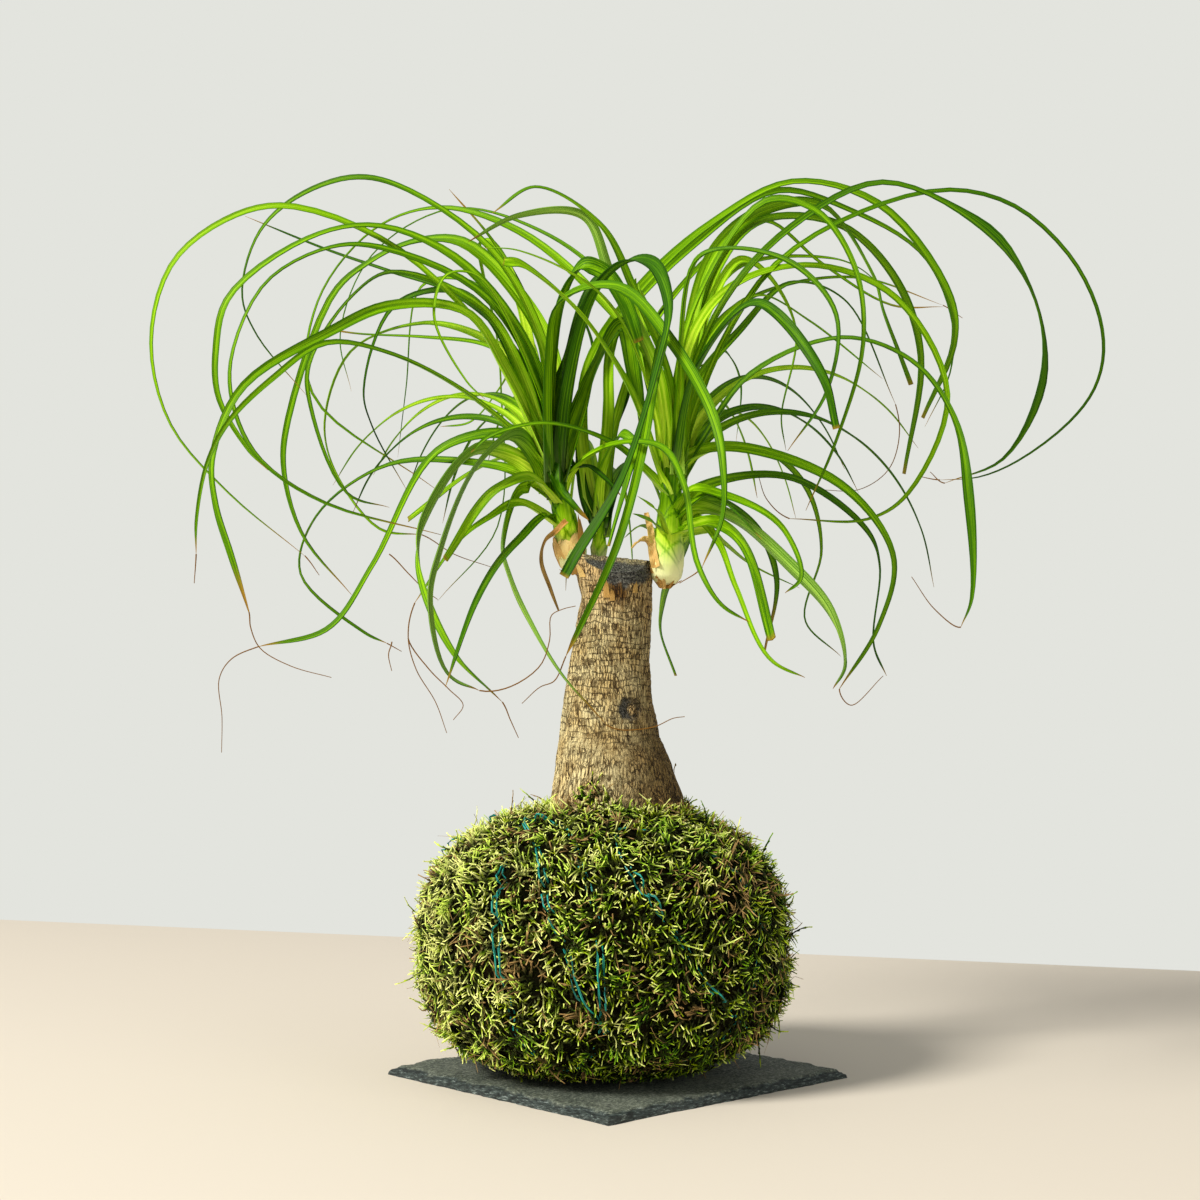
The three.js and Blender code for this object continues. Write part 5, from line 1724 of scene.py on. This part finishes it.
def dry_piece(name, strips, strip, material, node, seed, dark, rust):
    """A dried piece, rippled across, that darkens away from its root."""
    draw = random.Random(seed)
    heap = Heap()
    for wide, rolls, path in strips:
        one = leaf(wide, 0, rolls, path, cut=True)
        made, levels = blade(strip, np.array(path, float), one, draw)
        ripple = 0.5 * np.sin(levels * 34 + strip.points[:, 0] * 2)
        made[:, 1] += ripple
        states = np.ones((len(levels), 4))
        states[:, 0] = dark * smooth_step(0.1, 0.6, levels)
        states[:, 1] = rust
        heap.add(made, strip, states)
    settle(heap.piece(name, "husk_state"), material, node)


# Floor, light and camera

def stage():
    """A plain pale floor whose far edge runs a little aslant, and a pale world."""
    select_only()
    bpy.ops.mesh.primitive_cube_add(size=1, location=(0, 0, 0))
    floor = bpy.context.object
    floor.name = "floor"
    for vertex in floor.data.vertices:
        x, y, z = vertex.co
        across = math.copysign(FLOOR_REACH, x)
        back = FLOOR_BACK[0] if x < 0 else FLOOR_BACK[1]
        vertex.co = (across, back if y > 0 else -FLOOR_REACH, 0 if z > 0 else -FLOOR_THICK)
    paint_floor = bpy.data.materials.new("pale_floor")
    paint_floor.use_nodes = True
    shader = paint_floor.node_tree.nodes["Principled BSDF"]
    shader.inputs["Base Color"].default_value = display(232, 221, 202)
    shader.inputs["Roughness"].default_value = 0.7
    floor.data.materials.append(paint_floor)

    world = bpy.context.scene.world or bpy.data.worlds.new("studio")
    bpy.context.scene.world = world
    world.use_nodes = True
    tree = world.node_tree
    tree.nodes.clear()
    seen = add_node(tree, "ShaderNodeBackground", {"Color": display(227, 228, 222), "Strength": 1.0})
    lit = add_node(tree, "ShaderNodeBackground", {"Color": (0.97, 0.98, 0.98, 1), "Strength": 0.36})
    path = add_node(tree, "ShaderNodeLightPath")
    inputs = {0: path.outputs["Is Camera Ray"], 1: lit.outputs[0], 2: seen.outputs[0]}
    both = add_node(tree, "ShaderNodeMixShader", inputs)
    end = add_node(tree, "ShaderNodeOutputWorld")
    tree.links.new(both.outputs[0], end.inputs[0])


def soft_light(name, place, size, power, colour):
    light = bpy.data.lights.new(name, "AREA")
    light.shape = "DISK"
    light.size = size
    light.energy = power
    light.color = colour
    lamp = bpy.data.objects.new(name, light)
    bpy.context.scene.collection.objects.link(lamp)
    lamp.location = place
    aim = Vector(LIGHT_TARGET) - Vector(place)
    lamp.rotation_euler = aim.to_track_quat("-Z", "Y").to_euler()


def camera():
    lens = bpy.data.cameras.new("camera")
    lens.lens = CAMERA_LENS
    lens.sensor_width = 36
    lens.clip_start = 0.05
    lens.clip_end = 50
    eye = bpy.data.objects.new("camera", lens)
    bpy.context.scene.collection.objects.link(eye)
    eye.location = Vector(EYE) * MM
    eye.rotation_euler = (math.radians(90) + CAMERA_PITCH, 0, 0)
    bpy.context.scene.camera = eye


def main():
    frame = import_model()
    camera()
    stage()
    for light in LIGHTS:
        soft_light(*light)
    bpy.context.scene.view_settings.view_transform = "Standard"

    mottle = mottle_group()
    veins = vein_group()
    living = leaf_material(veins)
    papery = husk_material(veins, mottle)
    bark = bark_material(mottle, bark_group())

    slate_tile(slate_material(mottle))
    soil = frame["nodes"]["soil_ball"]
    soil.data.materials.clear()
    soil.data.materials.append(soil_material(mottle))
    moss_bed(moss_bed_material(mottle))
    moss_sprigs(moss_material(mottle))
    binding_thread(thread_material())
    trunk(bark)

    strip = Template(add_strip("leaf_strip", LEAF_ACROSS, LEAF_ALONG))
    wire = Template(add_column("wisp_wire", WISP_SIDES, WISP_RINGS))
    flake = Template(add_strip("flake", *FLAKE_MESH))
    for crown, scales in zip(CROWNS, (LEFT_SCALES, MIDDLE_SCALES, RIGHT_SCALES)):
        sheath_piece(crown, living)
        crown_scales(crown, scales, flake, papery)
        crown_piece(crown, strip, wire, living)
    bark_scales(flake, papery)
    dry_piece("left_dry_leaf_paper", DRY_LEAF, strip, papery, "left_dry_leaf", 3, 0.8, 0.8)
    dry_piece("right_dry_sheath_paper", DRY_SHEATH, strip, papery, "right_dry_sheath", 4, 0.05, 0.4)


main()
